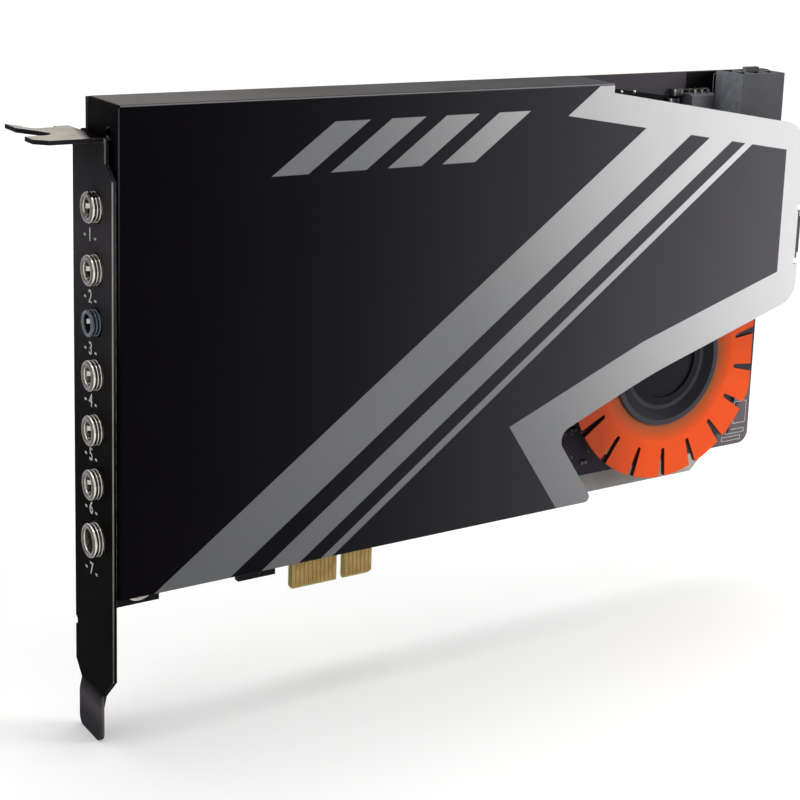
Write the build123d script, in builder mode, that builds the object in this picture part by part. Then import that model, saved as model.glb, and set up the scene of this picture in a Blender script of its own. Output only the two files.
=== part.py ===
"""Sound card for a one-lane expansion slot, as an assembly of separate pieces.

Frame, in millimetres: +X runs along the board from the slot bracket to the free end,
-Y points out of the component side, +Z points up. The origin is the middle of the key
notch on the lower edge of the contact tongue, in the middle of the board's thickness.
"""
import os
from math import cos, radians, sin, tan

from build123d import *

os.makedirs("parts", exist_ok=True)

# Board
BOARD_THICK = 1.57
BOARD_LENGTH = 174.9
BOARD_TOP = 107.2
BOARD_LOWER_EDGE = 8.25
BOARD_CORNER_RADIUS = 3.0
LUG_EDGE = 4.5
BRACKET_LUG_WIDTH = 14.5
GUIDE_LUG_WIDTH = 8.7
GUIDE_LUG_TO_KEY = 15.9
RAISED_EDGE = 13.0
RAISED_EDGE_WIDTH = 13.5
RAISED_EDGE_RUN = 5.0
BREAK_NICK_RADIUS = 0.8
BREAK_NICKS_FROM_BRACKET = (11.9, 107.6)

# Contact tongue
TONGUE_WIDTH = 20.3
KEY_TO_TONGUE_LEFT = 12.15
KEY_WIDTH = 1.9
KEY_DEPTH = 7.6
TONGUE_CORNER_RADIUS = 1.1
TONGUE_CHAMFER = 0.45
CONTACT_PITCH = 1.0
CONTACT_WIDTH = 0.7
CONTACT_THICK = 0.06
CONTACT_LENGTH = 5.4
CONTACT_TO_EDGE = 0.7
CONTACTS_BEFORE_KEY = 11
CONTACTS_AFTER_KEY = 7
KEY_TO_CONTACT = 1.5

# Slot bracket
BRACKET_TO_KEY = 58.4
BRACKET_THICK = 0.86
BRACKET_WIDTH = 18.42
BRACKET_HEIGHT = 120.02
BRACKET_SEAT = 100.36
BRACKET_FRONT = 14.9
BRACKET_BEND = 0.5
BOARD_TO_BRACKET = 0.64
TAB_DEPTH = 12.6
TAB_FRONT_RELIEF = 3.3
TAB_RELIEF_HEIGHT = 4.0
TAB_RELIEF_SLOPE = 2.8
TAB_BACK_BUMP = 1.3
TAB_BUMP_LENGTH = 3.2
TAB_CORNER = 1.6
TAB_LOBE_LENGTH = 5.0
TAB_LOBE_LIFT = 0.9
SCREW_NOTCH_WIDTH = 4.42
SCREW_NOTCH_DEPTH = 5.6
SCREW_NOTCH_FROM_BACK = 8.0
FOOT_WIDTH = 10.5
FOOT_LENGTH = 9.7
FOOT_BACK_CHAMFER = 2.9
FOOT_JOG = 0.5
FOOT_JOG_LENGTH = 2.4
FOOT_CORNER_RADIUS = 1.8
EDGE_NICK_RADIUS = 0.9
EDGE_NICK_HEIGHT = 2.0
EAR_LENGTH = 13.5
EAR_WIDTH = 7.0
EAR_SCREW_HEIGHTS = (8.4, 97.6)
EAR_SCREW_FROM_BRACKET = 11.6

# Jacks
JACK_HEIGHTS = (87.8, 75.9, 65.8, 55.6, 44.8, 34.0, 22.8)
JACK_AXIS_TO_BOARD = 6.9
JACK_BODY_WIDTH = 9.2
JACK_BODY_LENGTH = 13.6
JACK_BODY_OVER_AXIS = 5.0
JACK_BODY_GAP = 0.2
JACK_EDGE_CHAMFER = 0.8
PLUG_BORE = 3.6
PLUG_BORE_DEPTH = 12.0
COLLAR_DIAMETER = 6.0
COLLAR_REACH = 2.1
COLLAR_GROOVE = 0.45
COLLAR_RIM = 0.2
COLLAR_FUNNEL_DEPTH = 0.9
COLLAR_CLEARANCE = 0.2
SLIM_JACK = 3
SLIM_COLLAR_DIAMETER = 5.2
OPTICAL_JACK = 7
OPTICAL_COLLAR_DIAMETER = 6.8
OPTICAL_MOUTH = 4.6

# Shroud
SHROUD_TO_BRACKET = 0.35
SHEET_THICK = 0.6
SHROUD_FRONT = 15.1
SHROUD_TOP = 107.5
SHROUD_BOTTOM = 12.6
SHROUD_SHORT_OF_BOARD = 1.8
SHROUD_TO_BOARD = 0.2
BEND_RADIUS = 0.7
TOP_FLANGE_LENGTH = 114.2
FLANGE_CORNER_RADIUS = 2.0
SHOULDER_DROP = 2.1
SLOPE_ANGLE = 9.5
SIDE_FLANGE_HEIGHT = 13.0
SIDE_LIP = 1.6
END_CORNER_RADIUS = 8.0
END_LOWER_HEIGHT = 53.7
END_LOWER_RADIUS = 5.5
CUTOUT_ANGLE = 17.0
CUTOUT_UPPER_RUN = 44.0
CUTOUT_LOWER_ANGLE = 22.0
CUTOUT_LOWER_RUN = 26.2
CUTOUT_SIDE_ANGLE = 56.5
CUTOUT_RADIUS = 3.0
CUTOUT_SWEEP_RADIUS = 150.0
TIP_RADIUS = 1.2
END_TAB_BOTTOM = 63.6
END_TAB_WIDTH = 11.5
END_TAB_RELIEF = 1.4
END_TAB_RELIEF_DEPTH = 1.3
SIDE_HOLE_DIAMETER = 2.6
SIDE_HOLE_BELOW_TOP = 5.6
SIDE_HOLE_FROM_FRONT = 4.4

# Standoffs and screws
LEFT_STANDOFFS = ((-36.0, 101.0), (-33.0, 18.5))
FLANGE_STANDOFF_FROM_END = (7.0, 7.0)
END_STANDOFF_FROM_END = (9.0, 21.2)
CUTOUT_STANDOFF_FROM_CORNER = (10.0, 5.9)
STANDOFF_DIAMETER = 5.0
STANDOFF_BORE = 2.6
STANDOFF_BORE_DEPTH = 6.5
SCREW_SHANK = 2.5
SHROUD_SCREW_LENGTH = 6.0
BRACKET_SCREW_LENGTH = 3.2
SCREW_HEAD_DIAMETER = 5.4
SCREW_HEAD_HEIGHT = 1.7
SCREW_RECESS = 1.2
SCREW_RECESS_DEPTH = 0.9
SCREW_HOLE = 3.0

# Light ring
RING_FROM_BOARD_END = 34.15
RING_HEIGHT = 40.0
RING_DIAMETER = 56.5
RING_FLAT_FROM_CENTRE = 26.5
RING_THICK = 1.2
RING_BACK_HEIGHT = 6.0
RING_BORE = 31.0
RING_DISH_DIAMETER = 39.6
RING_DISH_DEPTH = 0.5
RING_SLOTS = 18
RING_SLOT_START = 10.0
SLOT_START_DIAMETER = 42.4
SLOT_INNER_WIDTH = 1.0
SLOT_OUTER_WIDTH = 2.1
HUB_CLEARANCE = 0.1
HUB_FLANGE_DIAMETER = 36.0
HUB_FLANGE_THICK = 1.2
HUB_FOOT_DIAMETER = 24.0
HUB_RIM_PROUD = 0.5
HUB_RIM_WIDTH = 1.2
HUB_CUP_DIAMETER = 22.6
HUB_CUP_DEPTH = 1.1
HUB_DISC_DIAMETER = 18.0
HUB_DISC_DEPTH = 0.5
LED_COUNT = 9
LED_SIZE = (3.5, 2.8, 1.4)

# Power connector
POWER_PITCH = 4.2
POWER_COLUMNS = 3
POWER_ROWS = 2
POWER_WALL = 0.7
POWER_LENGTH = 12.6
POWER_CELL_DEPTH = 10.5
POWER_FROM_BOARD_END = 12.2
POWER_ABOVE_BOARD_TOP = 0.2
POWER_PIN = 1.1
POWER_PIN_LENGTH = 8.0
POWER_RIB_WIDTH = 4.0
POWER_RIB_THICK = 1.3
POWER_RIB_HEIGHT = 1.1

# Front panel header
HEADER_FROM_BOARD_END = 25.8
HEADER_BELOW_BOARD_TOP = 7.9
HEADER_WIDTH = 7.6
HEADER_HEIGHT = 6.4
HEADER_DEPTH = 3.7
HEADER_CHAMFER = 0.5
HEADER_PIN = 0.64
HEADER_PIN_REACH = 1.0
HEADER_PIN_PITCH = 2.0
HEADER_PIN_COUNT = 3
HEADER_PIN_ROWS = 2

# Parts on the component side: centre along X and Z, then width, height and depth.
# Parts near the free end are placed by their distance from that end.
PROCESSOR = ((12.0, 50.0), (14.0, 14.0, 1.4))
DAC = ((-16.0, 56.0), (10.2, 5.3, 1.8))
ADC = ((-16.0, 74.0), (10.2, 5.3, 1.8))
HEADPHONE_AMP = ((-22.0, 40.0), (6.5, 4.4, 1.2))
FIRMWARE_MEMORY = ((12.0, 33.0), (5.3, 5.3, 1.8))
RELAY = (10.0, 7.4, 5.2)
RELAY_CENTRES = ((-24.0, 88.0), (-10.0, 88.0), (4.0, 88.0))
OSCILLATOR = (7.0, 5.0, 1.7)
OSCILLATOR_CENTRES = ((30.0, 60.0), (30.0, 42.0))
OP_AMP = (4.9, 3.9, 1.5)
OP_AMP_COLUMN = -34.0
OP_AMP_ROWS = 6
OP_AMP_PITCH = 10.6
OP_AMP_MIDDLE = 60.0
REGULATOR = (6.5, 6.1, 2.3)
REGULATOR_TAB = (5.3, 1.2, 0.8)
REGULATORS_FROM_END = ((56.0, 91.5), (56.0, 80.5), (47.5, 91.5))
INDUCTOR = (6.6, 6.6, 3.4)
INDUCTORS_FROM_END = ((39.0, 92.6), (26.0, 90.5), (14.0, 76.0))
INDUCTOR_CORNER = 1.0
SMALL_CAP_DIAMETER = 6.3
SMALL_CAP_HEIGHT = 7.7
SMALL_CAP_PITCH = 9.0
SMALL_CAP_COLUMNS = 5
SMALL_CAP_ROWS = 2
SMALL_CAP_MIDDLE = (16.0, 74.0)
LARGE_CAP_DIAMETER = 8.0
LARGE_CAP_HEIGHT = 10.2
LARGE_CAP_ANGLES = (80.0, 105.0, 130.0)
LARGE_CAP_TO_RING = 2.7
CAP_BASE_HEIGHT = 0.9
CAP_BASE_MARGIN = 0.3
CAP_TOP_CHAMFER = 0.5
CHIP_CHAMFER = 0.2

# Places worked out from the sizes above
BOARD_FRONT_FACE = Plane.XZ.offset(BOARD_THICK / 2)
BOARD_BACK_FACE = Plane.XZ.offset(-BOARD_THICK / 2)
BRACKET_FACE = -BRACKET_TO_KEY
BRACKET_INNER = BRACKET_FACE + BRACKET_THICK
BRACKET_BACK = BRACKET_WIDTH - BRACKET_FRONT
BRACKET_TOP = BRACKET_SEAT + BRACKET_THICK
BRACKET_BOTTOM = BRACKET_TOP - BRACKET_HEIGHT
TAB_END = BRACKET_FACE - TAB_DEPTH
BOARD_LEFT = BRACKET_INNER + BOARD_TO_BRACKET
BOARD_RIGHT = BOARD_LEFT + BOARD_LENGTH
JACK_AXIS = -BOARD_THICK / 2 - JACK_AXIS_TO_BOARD
JACK_FRONT = BRACKET_INNER + JACK_BODY_GAP
SHROUD_LEFT = BRACKET_INNER + SHROUD_TO_BRACKET
SHROUD_RIGHT = BOARD_RIGHT - SHROUD_SHORT_OF_BOARD
SHROUD_BACK = BOARD_THICK / 2 + SHROUD_TO_BOARD
FLANGE_RIGHT = SHROUD_LEFT + TOP_FLANGE_LENGTH
CUTOUT_BEND_X = SHROUD_RIGHT - CUTOUT_UPPER_RUN
CUTOUT_BEND_Z = END_LOWER_HEIGHT - CUTOUT_UPPER_RUN * tan(radians(CUTOUT_ANGLE))
CUTOUT_CORNER_X = CUTOUT_BEND_X - CUTOUT_LOWER_RUN
CUTOUT_CORNER_Z = CUTOUT_BEND_Z - CUTOUT_LOWER_RUN * tan(radians(CUTOUT_LOWER_ANGLE))
STANDOFFS = (
    *LEFT_STANDOFFS,
    (FLANGE_RIGHT - FLANGE_STANDOFF_FROM_END[0], SHROUD_TOP - FLANGE_STANDOFF_FROM_END[1]),
    (BOARD_RIGHT - END_STANDOFF_FROM_END[0], BOARD_TOP - END_STANDOFF_FROM_END[1]),
    (CUTOUT_CORNER_X - CUTOUT_STANDOFF_FROM_CORNER[0], SHROUD_BOTTOM + CUTOUT_STANDOFF_FROM_CORNER[1]),
)
EAR_SCREWS = [(BRACKET_FACE + EAR_SCREW_FROM_BRACKET, height) for height in EAR_SCREW_HEIGHTS]
RING_CENTRE = (BOARD_RIGHT - RING_FROM_BOARD_END, RING_HEIGHT)
RING_BACK = BOARD_THICK / 2 + RING_BACK_HEIGHT
POWER_CENTRE_X = BOARD_RIGHT - POWER_FROM_BOARD_END
POWER_BASE = BOARD_TOP + POWER_ABOVE_BOARD_TOP - POWER_LENGTH
HEADER_CENTRE = (BOARD_RIGHT - HEADER_FROM_BOARD_END, BOARD_TOP - HEADER_BELOW_BOARD_TOP)
REGULATOR_CENTRES = [(BOARD_RIGHT - place[0], place[1]) for place in REGULATORS_FROM_END]
INDUCTOR_CENTRES = [(BOARD_RIGHT - place[0], place[1]) for place in INDUCTORS_FROM_END]


def collar_diameter(number):
    """Outer diameter of a jack's collar; one jack has a slimmer collar and one a wider."""
    special = {SLIM_JACK: SLIM_COLLAR_DIAMETER, OPTICAL_JACK: OPTICAL_COLLAR_DIAMETER}
    return special.get(number, COLLAR_DIAMETER)


# Board with its lugs, contact tongue, key notch and screw holes
with BuildPart() as board:
    with BuildSketch(BOARD_BACK_FACE) as board_outline:
        with BuildLine():
            Polyline(
                (BOARD_LEFT, LUG_EDGE),
                (BOARD_LEFT + BRACKET_LUG_WIDTH, LUG_EDGE),
                (BOARD_LEFT + BRACKET_LUG_WIDTH, BOARD_LOWER_EDGE),
                (-GUIDE_LUG_TO_KEY - GUIDE_LUG_WIDTH, BOARD_LOWER_EDGE),
                (-GUIDE_LUG_TO_KEY - GUIDE_LUG_WIDTH, LUG_EDGE),
                (-GUIDE_LUG_TO_KEY, LUG_EDGE),
                (-GUIDE_LUG_TO_KEY, BOARD_LOWER_EDGE),
                (-KEY_TO_TONGUE_LEFT, BOARD_LOWER_EDGE),
                (-KEY_TO_TONGUE_LEFT, 0),
                (TONGUE_WIDTH - KEY_TO_TONGUE_LEFT, 0),
                (TONGUE_WIDTH - KEY_TO_TONGUE_LEFT, BOARD_LOWER_EDGE),
                (BOARD_RIGHT - RAISED_EDGE_WIDTH - RAISED_EDGE_RUN, BOARD_LOWER_EDGE),
                (BOARD_RIGHT - RAISED_EDGE_WIDTH, RAISED_EDGE),
                (BOARD_RIGHT, RAISED_EDGE),
                (BOARD_RIGHT, BOARD_TOP),
                (BOARD_LEFT, BOARD_TOP),
                close=True,
            )
        make_face()
        fillet(board_outline.vertices().group_by(Axis.Y)[0], radius=TONGUE_CORNER_RADIUS)
        fillet(board_outline.vertices().group_by(Axis.X)[-1], radius=BOARD_CORNER_RADIUS)
        with Locations((0, KEY_DEPTH / 2)):
            Rectangle(KEY_WIDTH, KEY_DEPTH, mode=Mode.SUBTRACT)
        with Locations((0, KEY_DEPTH)):
            Circle(KEY_WIDTH / 2, mode=Mode.SUBTRACT)
        with Locations(*STANDOFFS, *EAR_SCREWS):
            Circle(SCREW_HOLE / 2, mode=Mode.SUBTRACT)
        with Locations(*[(BRACKET_FACE + nick, BOARD_TOP) for nick in BREAK_NICKS_FROM_BRACKET]):
            Circle(BREAK_NICK_RADIUS, mode=Mode.SUBTRACT)
    extrude(amount=BOARD_THICK)
    chamfer(board.edges().filter_by(Axis.X).group_by(Axis.Z)[0], length=TONGUE_CHAMFER)
board.part.label = "board"
export_step(board.part, "parts/board.step")

# Gold contacts on both faces of the tongue
contact_places = [-KEY_TO_CONTACT - CONTACT_PITCH * step for step in range(CONTACTS_BEFORE_KEY)]
contact_places += [KEY_TO_CONTACT + CONTACT_PITCH * step for step in range(CONTACTS_AFTER_KEY)]
contact_middle = CONTACT_TO_EDGE + CONTACT_LENGTH / 2
with BuildPart() as edge_contacts:
    for face, outward in ((BOARD_FRONT_FACE, 1), (BOARD_BACK_FACE, -1)):
        with BuildSketch(face):
            with Locations(*[(place, contact_middle) for place in contact_places]):
                Rectangle(CONTACT_WIDTH, CONTACT_LENGTH)
        extrude(amount=outward * CONTACT_THICK)
edge_contacts.part.label = "edge_contacts"
export_step(edge_contacts.part, "parts/edge_contacts.step")

# Slot bracket: folded profile, trimmed to its outline, with jack holes, screw notch and ears
foot_back = BRACKET_BACK - FOOT_BACK_CHAMFER
foot_front = foot_back - FOOT_WIDTH
foot_top = BRACKET_BOTTOM + FOOT_LENGTH
foot_front_chamfer = foot_front + BRACKET_FRONT
tab_front = -BRACKET_FRONT + TAB_FRONT_RELIEF
tab_back = BRACKET_BACK + TAB_BACK_BUMP
relief_bottom = BRACKET_SEAT - TAB_RELIEF_HEIGHT
notch_middle = tab_back - SCREW_NOTCH_FROM_BACK
with BuildPart() as bracket:
    with BuildSketch(Plane.XZ.offset(-tab_back)):
        with BuildLine():
            FilletPolyline(
                (TAB_END, BRACKET_SEAT),
                (BRACKET_FACE, BRACKET_SEAT),
                (BRACKET_FACE, foot_top),
                (BRACKET_FACE - FOOT_JOG, foot_top - FOOT_JOG_LENGTH),
                (BRACKET_FACE - FOOT_JOG, BRACKET_BOTTOM),
                radius=BRACKET_BEND,
            )
            offset(amount=BRACKET_THICK, side=Side.LEFT)
        make_face()
    extrude(amount=tab_back + BRACKET_FRONT)
    with BuildSketch(Plane.YZ):
        with BuildLine():
            Polyline(
                (tab_front, BRACKET_TOP),
                (tab_back, BRACKET_TOP),
                (tab_back, BRACKET_SEAT - TAB_BACK_BUMP),
                (BRACKET_BACK, BRACKET_SEAT - 2 * TAB_BACK_BUMP),
                (BRACKET_BACK, foot_top + FOOT_BACK_CHAMFER),
                (foot_back, foot_top),
                (foot_back, BRACKET_BOTTOM),
                (foot_front, BRACKET_BOTTOM),
                (foot_front, foot_top),
                (-BRACKET_FRONT, foot_top + foot_front_chamfer),
                (-BRACKET_FRONT, relief_bottom - TAB_RELIEF_SLOPE),
                (tab_front, relief_bottom),
                close=True,
            )
        outline = make_face()
        fillet(outline.vertices().group_by(Axis.Y)[0], radius=FOOT_CORNER_RADIUS)
        with Locations((BRACKET_BACK, EDGE_NICK_HEIGHT)):
            Circle(EDGE_NICK_RADIUS, mode=Mode.SUBTRACT)
        for number, height in enumerate(JACK_HEIGHTS, start=1):
            with Locations((JACK_AXIS, height)):
                Circle(collar_diameter(number) / 2 + COLLAR_CLEARANCE, mode=Mode.SUBTRACT)
    extrude(amount=2 * BRACKET_TO_KEY, both=True, mode=Mode.INTERSECT)
    with BuildSketch(Plane.XY.offset(BRACKET_SEAT)):
        with Locations((TAB_END, notch_middle)):
            Rectangle(TAB_LOBE_LENGTH, tab_back - notch_middle, align=(Align.MIN, Align.MIN))
    extrude(amount=BRACKET_THICK, mode=Mode.SUBTRACT)
    with BuildSketch(Plane.XZ.offset(-tab_back)):
        with BuildLine():
            Polyline(
                (TAB_END + TAB_LOBE_LENGTH, BRACKET_SEAT),
                (TAB_END + TAB_LOBE_LENGTH, BRACKET_TOP),
                (TAB_END, BRACKET_TOP + TAB_LOBE_LIFT),
                (TAB_END, BRACKET_SEAT + TAB_LOBE_LIFT),
                close=True,
            )
        make_face()
    extrude(amount=tab_back - notch_middle)
    with BuildSketch(Plane.XY.offset(BRACKET_SEAT)):
        with Locations((TAB_END, notch_middle)):
            SlotCenterToCenter(2 * SCREW_NOTCH_DEPTH - SCREW_NOTCH_WIDTH, SCREW_NOTCH_WIDTH)
        with Locations((BRACKET_FACE - 2 * TAB_BUMP_LENGTH, tab_back)):
            Rectangle(2 * TAB_BUMP_LENGTH, 2 * TAB_BACK_BUMP)
        with Locations((TAB_END, tab_front)):
            Rectangle(2 * TAB_CORNER, 2 * TAB_CORNER, rotation=45)
    extrude(amount=BRACKET_THICK + TAB_LOBE_LIFT, mode=Mode.SUBTRACT)
    with BuildSketch(BOARD_BACK_FACE):
        for screw_x, screw_z in EAR_SCREWS:
            with Locations((BRACKET_INNER + EAR_LENGTH / 2, screw_z)):
                Rectangle(EAR_LENGTH, EAR_WIDTH)
        with Locations(*EAR_SCREWS):
            Circle(STANDOFF_BORE / 2, mode=Mode.SUBTRACT)
    extrude(amount=-BRACKET_THICK)
bracket.part.label = "bracket"
export_step(bracket.part, "parts/bracket.step")

# Shroud: folded sheet with a top flange, a short side flange, an end tab and a corner cut-out
cutout_run = (CUTOUT_CORNER_Z - SHROUD_BOTTOM) / tan(radians(CUTOUT_SIDE_ANGLE))
cutout_tip = CUTOUT_CORNER_X + cutout_run
shoulder = SHROUD_TOP - SHOULDER_DROP
end_top = shoulder - (SHROUD_RIGHT - FLANGE_RIGHT) * tan(radians(SLOPE_ANGLE))
with BuildPart() as shroud:
    with BuildSketch(Plane.XZ.offset(SHROUD_BACK)):
        with Locations((SHROUD_LEFT, SHROUD_BOTTOM)):
            Rectangle(TOP_FLANGE_LENGTH, SHROUD_TOP - SHROUD_BOTTOM, align=(Align.MIN, Align.MIN))
    extrude(amount=SHROUD_FRONT - SHROUD_BACK)
    front_face = shroud.faces().sort_by(Axis.Y)[0]
    front_edges = front_face.edges()
    corner_edge = shroud.edges().filter_by(Axis.Y).group_by(Axis.Z)[-1].sort_by(Axis.X)[0]
    folds = [
        front_edges.sort_by(Axis.Z)[-1],
        front_edges.sort_by(Axis.X)[0],
        corner_edge,
    ]
    fillet(folds, radius=BEND_RADIUS)
    open_sides = [
        shroud.faces().sort_by(Axis.Y)[-1],
        shroud.faces().sort_by(Axis.Z)[0],
        shroud.faces().sort_by(Axis.X)[-1],
    ]
    offset(amount=-SHEET_THICK, openings=open_sides)
    with BuildSketch(Plane.XZ.offset(SHROUD_FRONT - SHEET_THICK)):
        with Locations((FLANGE_RIGHT, SHROUD_BOTTOM)):
            Rectangle(SHROUD_RIGHT - FLANGE_RIGHT, shoulder - SHROUD_BOTTOM, align=(Align.MIN, Align.MIN))
    extrude(amount=SHEET_THICK)
    with BuildSketch(Plane.XZ) as shroud_outline:
        with BuildLine():
            Polyline(
                (SHROUD_LEFT, SHROUD_BOTTOM),
                (cutout_tip, SHROUD_BOTTOM),
                (CUTOUT_CORNER_X, CUTOUT_CORNER_Z),
                (CUTOUT_BEND_X, CUTOUT_BEND_Z),
                (SHROUD_RIGHT, END_LOWER_HEIGHT),
                (SHROUD_RIGHT, end_top),
                (FLANGE_RIGHT, shoulder),
                (FLANGE_RIGHT, SHROUD_TOP),
                (SHROUD_LEFT, SHROUD_TOP),
                close=True,
            )
        make_face()
        rounded_corners = (
            ((SHROUD_RIGHT, end_top), END_CORNER_RADIUS),
            ((SHROUD_RIGHT, END_LOWER_HEIGHT), END_LOWER_RADIUS),
            ((CUTOUT_BEND_X, CUTOUT_BEND_Z), CUTOUT_SWEEP_RADIUS),
            ((CUTOUT_CORNER_X, CUTOUT_CORNER_Z), CUTOUT_RADIUS),
            ((cutout_tip, SHROUD_BOTTOM), TIP_RADIUS),
        )
        for corner, radius in rounded_corners:
            fillet(shroud_outline.vertices().sort_by_distance(corner)[0], radius=radius)
        with Locations((SHROUD_RIGHT, END_TAB_BOTTOM), (SHROUD_RIGHT, END_TAB_BOTTOM + END_TAB_WIDTH)):
            Rectangle(2 * END_TAB_RELIEF_DEPTH, 2 * END_TAB_RELIEF, mode=Mode.SUBTRACT)
    extrude(amount=SHROUD_FRONT, mode=Mode.INTERSECT)
    with BuildSketch(Plane.XZ.offset(SHROUD_FRONT - SIDE_LIP)):
        with Locations((SHROUD_LEFT, SHROUD_BOTTOM)):
            side_window = SHROUD_TOP - SIDE_FLANGE_HEIGHT - SHROUD_BOTTOM
            Rectangle(2 * SHEET_THICK, side_window, align=(Align.CENTER, Align.MIN))
    extrude(amount=-SHROUD_FRONT, mode=Mode.SUBTRACT)
    with BuildSketch(Plane.XY.offset(END_TAB_BOTTOM)):
        with BuildLine():
            FilletPolyline(
                (SHROUD_RIGHT - END_TAB_RELIEF_DEPTH, -SHROUD_FRONT),
                (SHROUD_RIGHT, -SHROUD_FRONT),
                (SHROUD_RIGHT, -SHROUD_BACK),
                radius=BEND_RADIUS,
            )
            offset(amount=SHEET_THICK, side=Side.LEFT)
        make_face()
    extrude(amount=END_TAB_WIDTH)
    with BuildSketch(Plane.YZ.offset(SHROUD_LEFT)):
        with Locations((-SHROUD_FRONT + SIDE_HOLE_FROM_FRONT, SHROUD_TOP - SIDE_HOLE_BELOW_TOP)):
            Circle(SIDE_HOLE_DIAMETER / 2)
    extrude(amount=SHEET_THICK, mode=Mode.SUBTRACT)
    flange_tip = (FLANGE_RIGHT, -SHROUD_BACK, SHROUD_TOP)
    fillet(shroud.edges().filter_by(Axis.Z).sort_by_distance(flange_tip)[0], radius=FLANGE_CORNER_RADIUS)
shroud.part.label = "shroud"
export_step(shroud.part, "parts/shroud.step")

# Threaded standoffs between the shroud and the board
standoff_length = SHROUD_FRONT - SHEET_THICK - BOARD_THICK / 2
with BuildPart() as standoffs:
    with BuildSketch(BOARD_FRONT_FACE):
        with Locations(*STANDOFFS):
            Circle(STANDOFF_DIAMETER / 2)
    extrude(amount=standoff_length)
    with BuildSketch(BOARD_FRONT_FACE):
        with Locations(*STANDOFFS):
            Circle(STANDOFF_BORE / 2)
    extrude(amount=STANDOFF_BORE_DEPTH, mode=Mode.SUBTRACT)
standoffs.part.label = "shroud_standoffs"
export_step(standoffs.part, "parts/shroud_standoffs.step")


def make_screws(places, length, seat, outward):
    """Pan-head screws on a face; outward is 1 where heads face -Y and -1 where they face +Y."""
    with BuildPart() as screws:
        with BuildSketch(seat):
            with Locations(*places):
                Circle(SCREW_HEAD_DIAMETER / 2)
        extrude(amount=outward * SCREW_HEAD_HEIGHT)
        tops = screws.faces().filter_by(Axis.Y).group_by(Axis.Y)[0 if outward == 1 else -1]
        fillet(tops.edges(), radius=SCREW_HEAD_HEIGHT / 2)
        with BuildSketch(seat):
            with Locations(*places):
                Circle(SCREW_SHANK / 2)
        extrude(amount=-outward * length)
        with BuildSketch(seat.offset(outward * SCREW_HEAD_HEIGHT)):
            with Locations(*places):
                Rectangle(SCREW_RECESS, 3 * SCREW_RECESS)
                Rectangle(3 * SCREW_RECESS, SCREW_RECESS)
        extrude(amount=-outward * SCREW_RECESS_DEPTH, mode=Mode.SUBTRACT)
    return screws.part


shroud_screws = make_screws(STANDOFFS, SHROUD_SCREW_LENGTH, BOARD_BACK_FACE, -1)
shroud_screws.label = "shroud_screws"
export_step(shroud_screws, "parts/shroud_screws.step")

bracket_screws = make_screws(EAR_SCREWS, BRACKET_SCREW_LENGTH, BOARD_FRONT_FACE, 1)
bracket_screws.label = "bracket_screws"
export_step(bracket_screws, "parts/bracket_screws.step")

# Jacks: a moulded body on the board and a turned collar through the bracket, seven times
for number, height in enumerate(JACK_HEIGHTS, start=1):
    jack_axis_plane = Plane.YZ.offset(JACK_FRONT)
    with BuildPart() as jack_body:
        with BuildSketch(jack_axis_plane):
            with Locations((JACK_AXIS, height)):
                with Locations((JACK_AXIS_TO_BOARD, 0)):
                    Rectangle(
                        JACK_AXIS_TO_BOARD + JACK_BODY_OVER_AXIS,
                        JACK_BODY_WIDTH,
                        align=(Align.MAX, Align.CENTER),
                    )
        extrude(amount=JACK_BODY_LENGTH)
        chamfer(jack_body.faces().sort_by(Axis.Y)[0].edges(), length=JACK_EDGE_CHAMFER)
        with BuildSketch(jack_axis_plane):
            with Locations((JACK_AXIS, height)):
                Circle(PLUG_BORE / 2)
        extrude(amount=PLUG_BORE_DEPTH, mode=Mode.SUBTRACT)
    jack_body.part.label = f"jack_body_{number}"
    export_step(jack_body.part, f"parts/jack_body_{number}.step")

    outer = collar_diameter(number) / 2
    mouth = OPTICAL_MOUTH / 2 if number == OPTICAL_JACK else PLUG_BORE / 2
    collar_front = BRACKET_FACE - COLLAR_REACH
    ring_width = COLLAR_REACH / 3
    with BuildPart() as jack_collar:
        with BuildSketch(Plane.XY.offset(height)):
            with BuildLine():
                Polyline(
                    (JACK_FRONT, JACK_AXIS + mouth),
                    (JACK_FRONT, JACK_AXIS + outer),
                    (collar_front + 2 * ring_width, JACK_AXIS + outer),
                    (collar_front + 2 * ring_width, JACK_AXIS + outer - COLLAR_GROOVE),
                    (collar_front + ring_width, JACK_AXIS + outer - COLLAR_GROOVE),
                    (collar_front + ring_width, JACK_AXIS + outer),
                    (collar_front, JACK_AXIS + outer - COLLAR_GROOVE),
                    (collar_front, JACK_AXIS + outer - COLLAR_GROOVE - COLLAR_RIM),
                    (collar_front + COLLAR_FUNNEL_DEPTH, JACK_AXIS + mouth),
                    close=True,
                )
            make_face()
        revolve(axis=Axis((0, JACK_AXIS, height), (1, 0, 0)))
    jack_collar.part.label = f"jack_collar_{number}"
    export_step(jack_collar.part, f"parts/jack_collar_{number}.step")

# Outline of one tapered slot, with a round inner end, that opens at the ring's rim
slot_start = SLOT_START_DIAMETER / 2 + SLOT_INNER_WIDTH / 2
slot_end = RING_DIAMETER / 2 + SLOT_OUTER_WIDTH / 2
with BuildSketch() as ring_slot:
    with BuildLine():
        Polyline(
            (slot_start, -SLOT_INNER_WIDTH / 2),
            (slot_end, -SLOT_OUTER_WIDTH / 2),
            (slot_end, SLOT_OUTER_WIDTH / 2),
            (slot_start, SLOT_INNER_WIDTH / 2),
        )
        ThreePointArc(
            (slot_start, SLOT_INNER_WIDTH / 2),
            (SLOT_START_DIAMETER / 2, 0),
            (slot_start, -SLOT_INNER_WIDTH / 2),
        )
    make_face()

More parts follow.
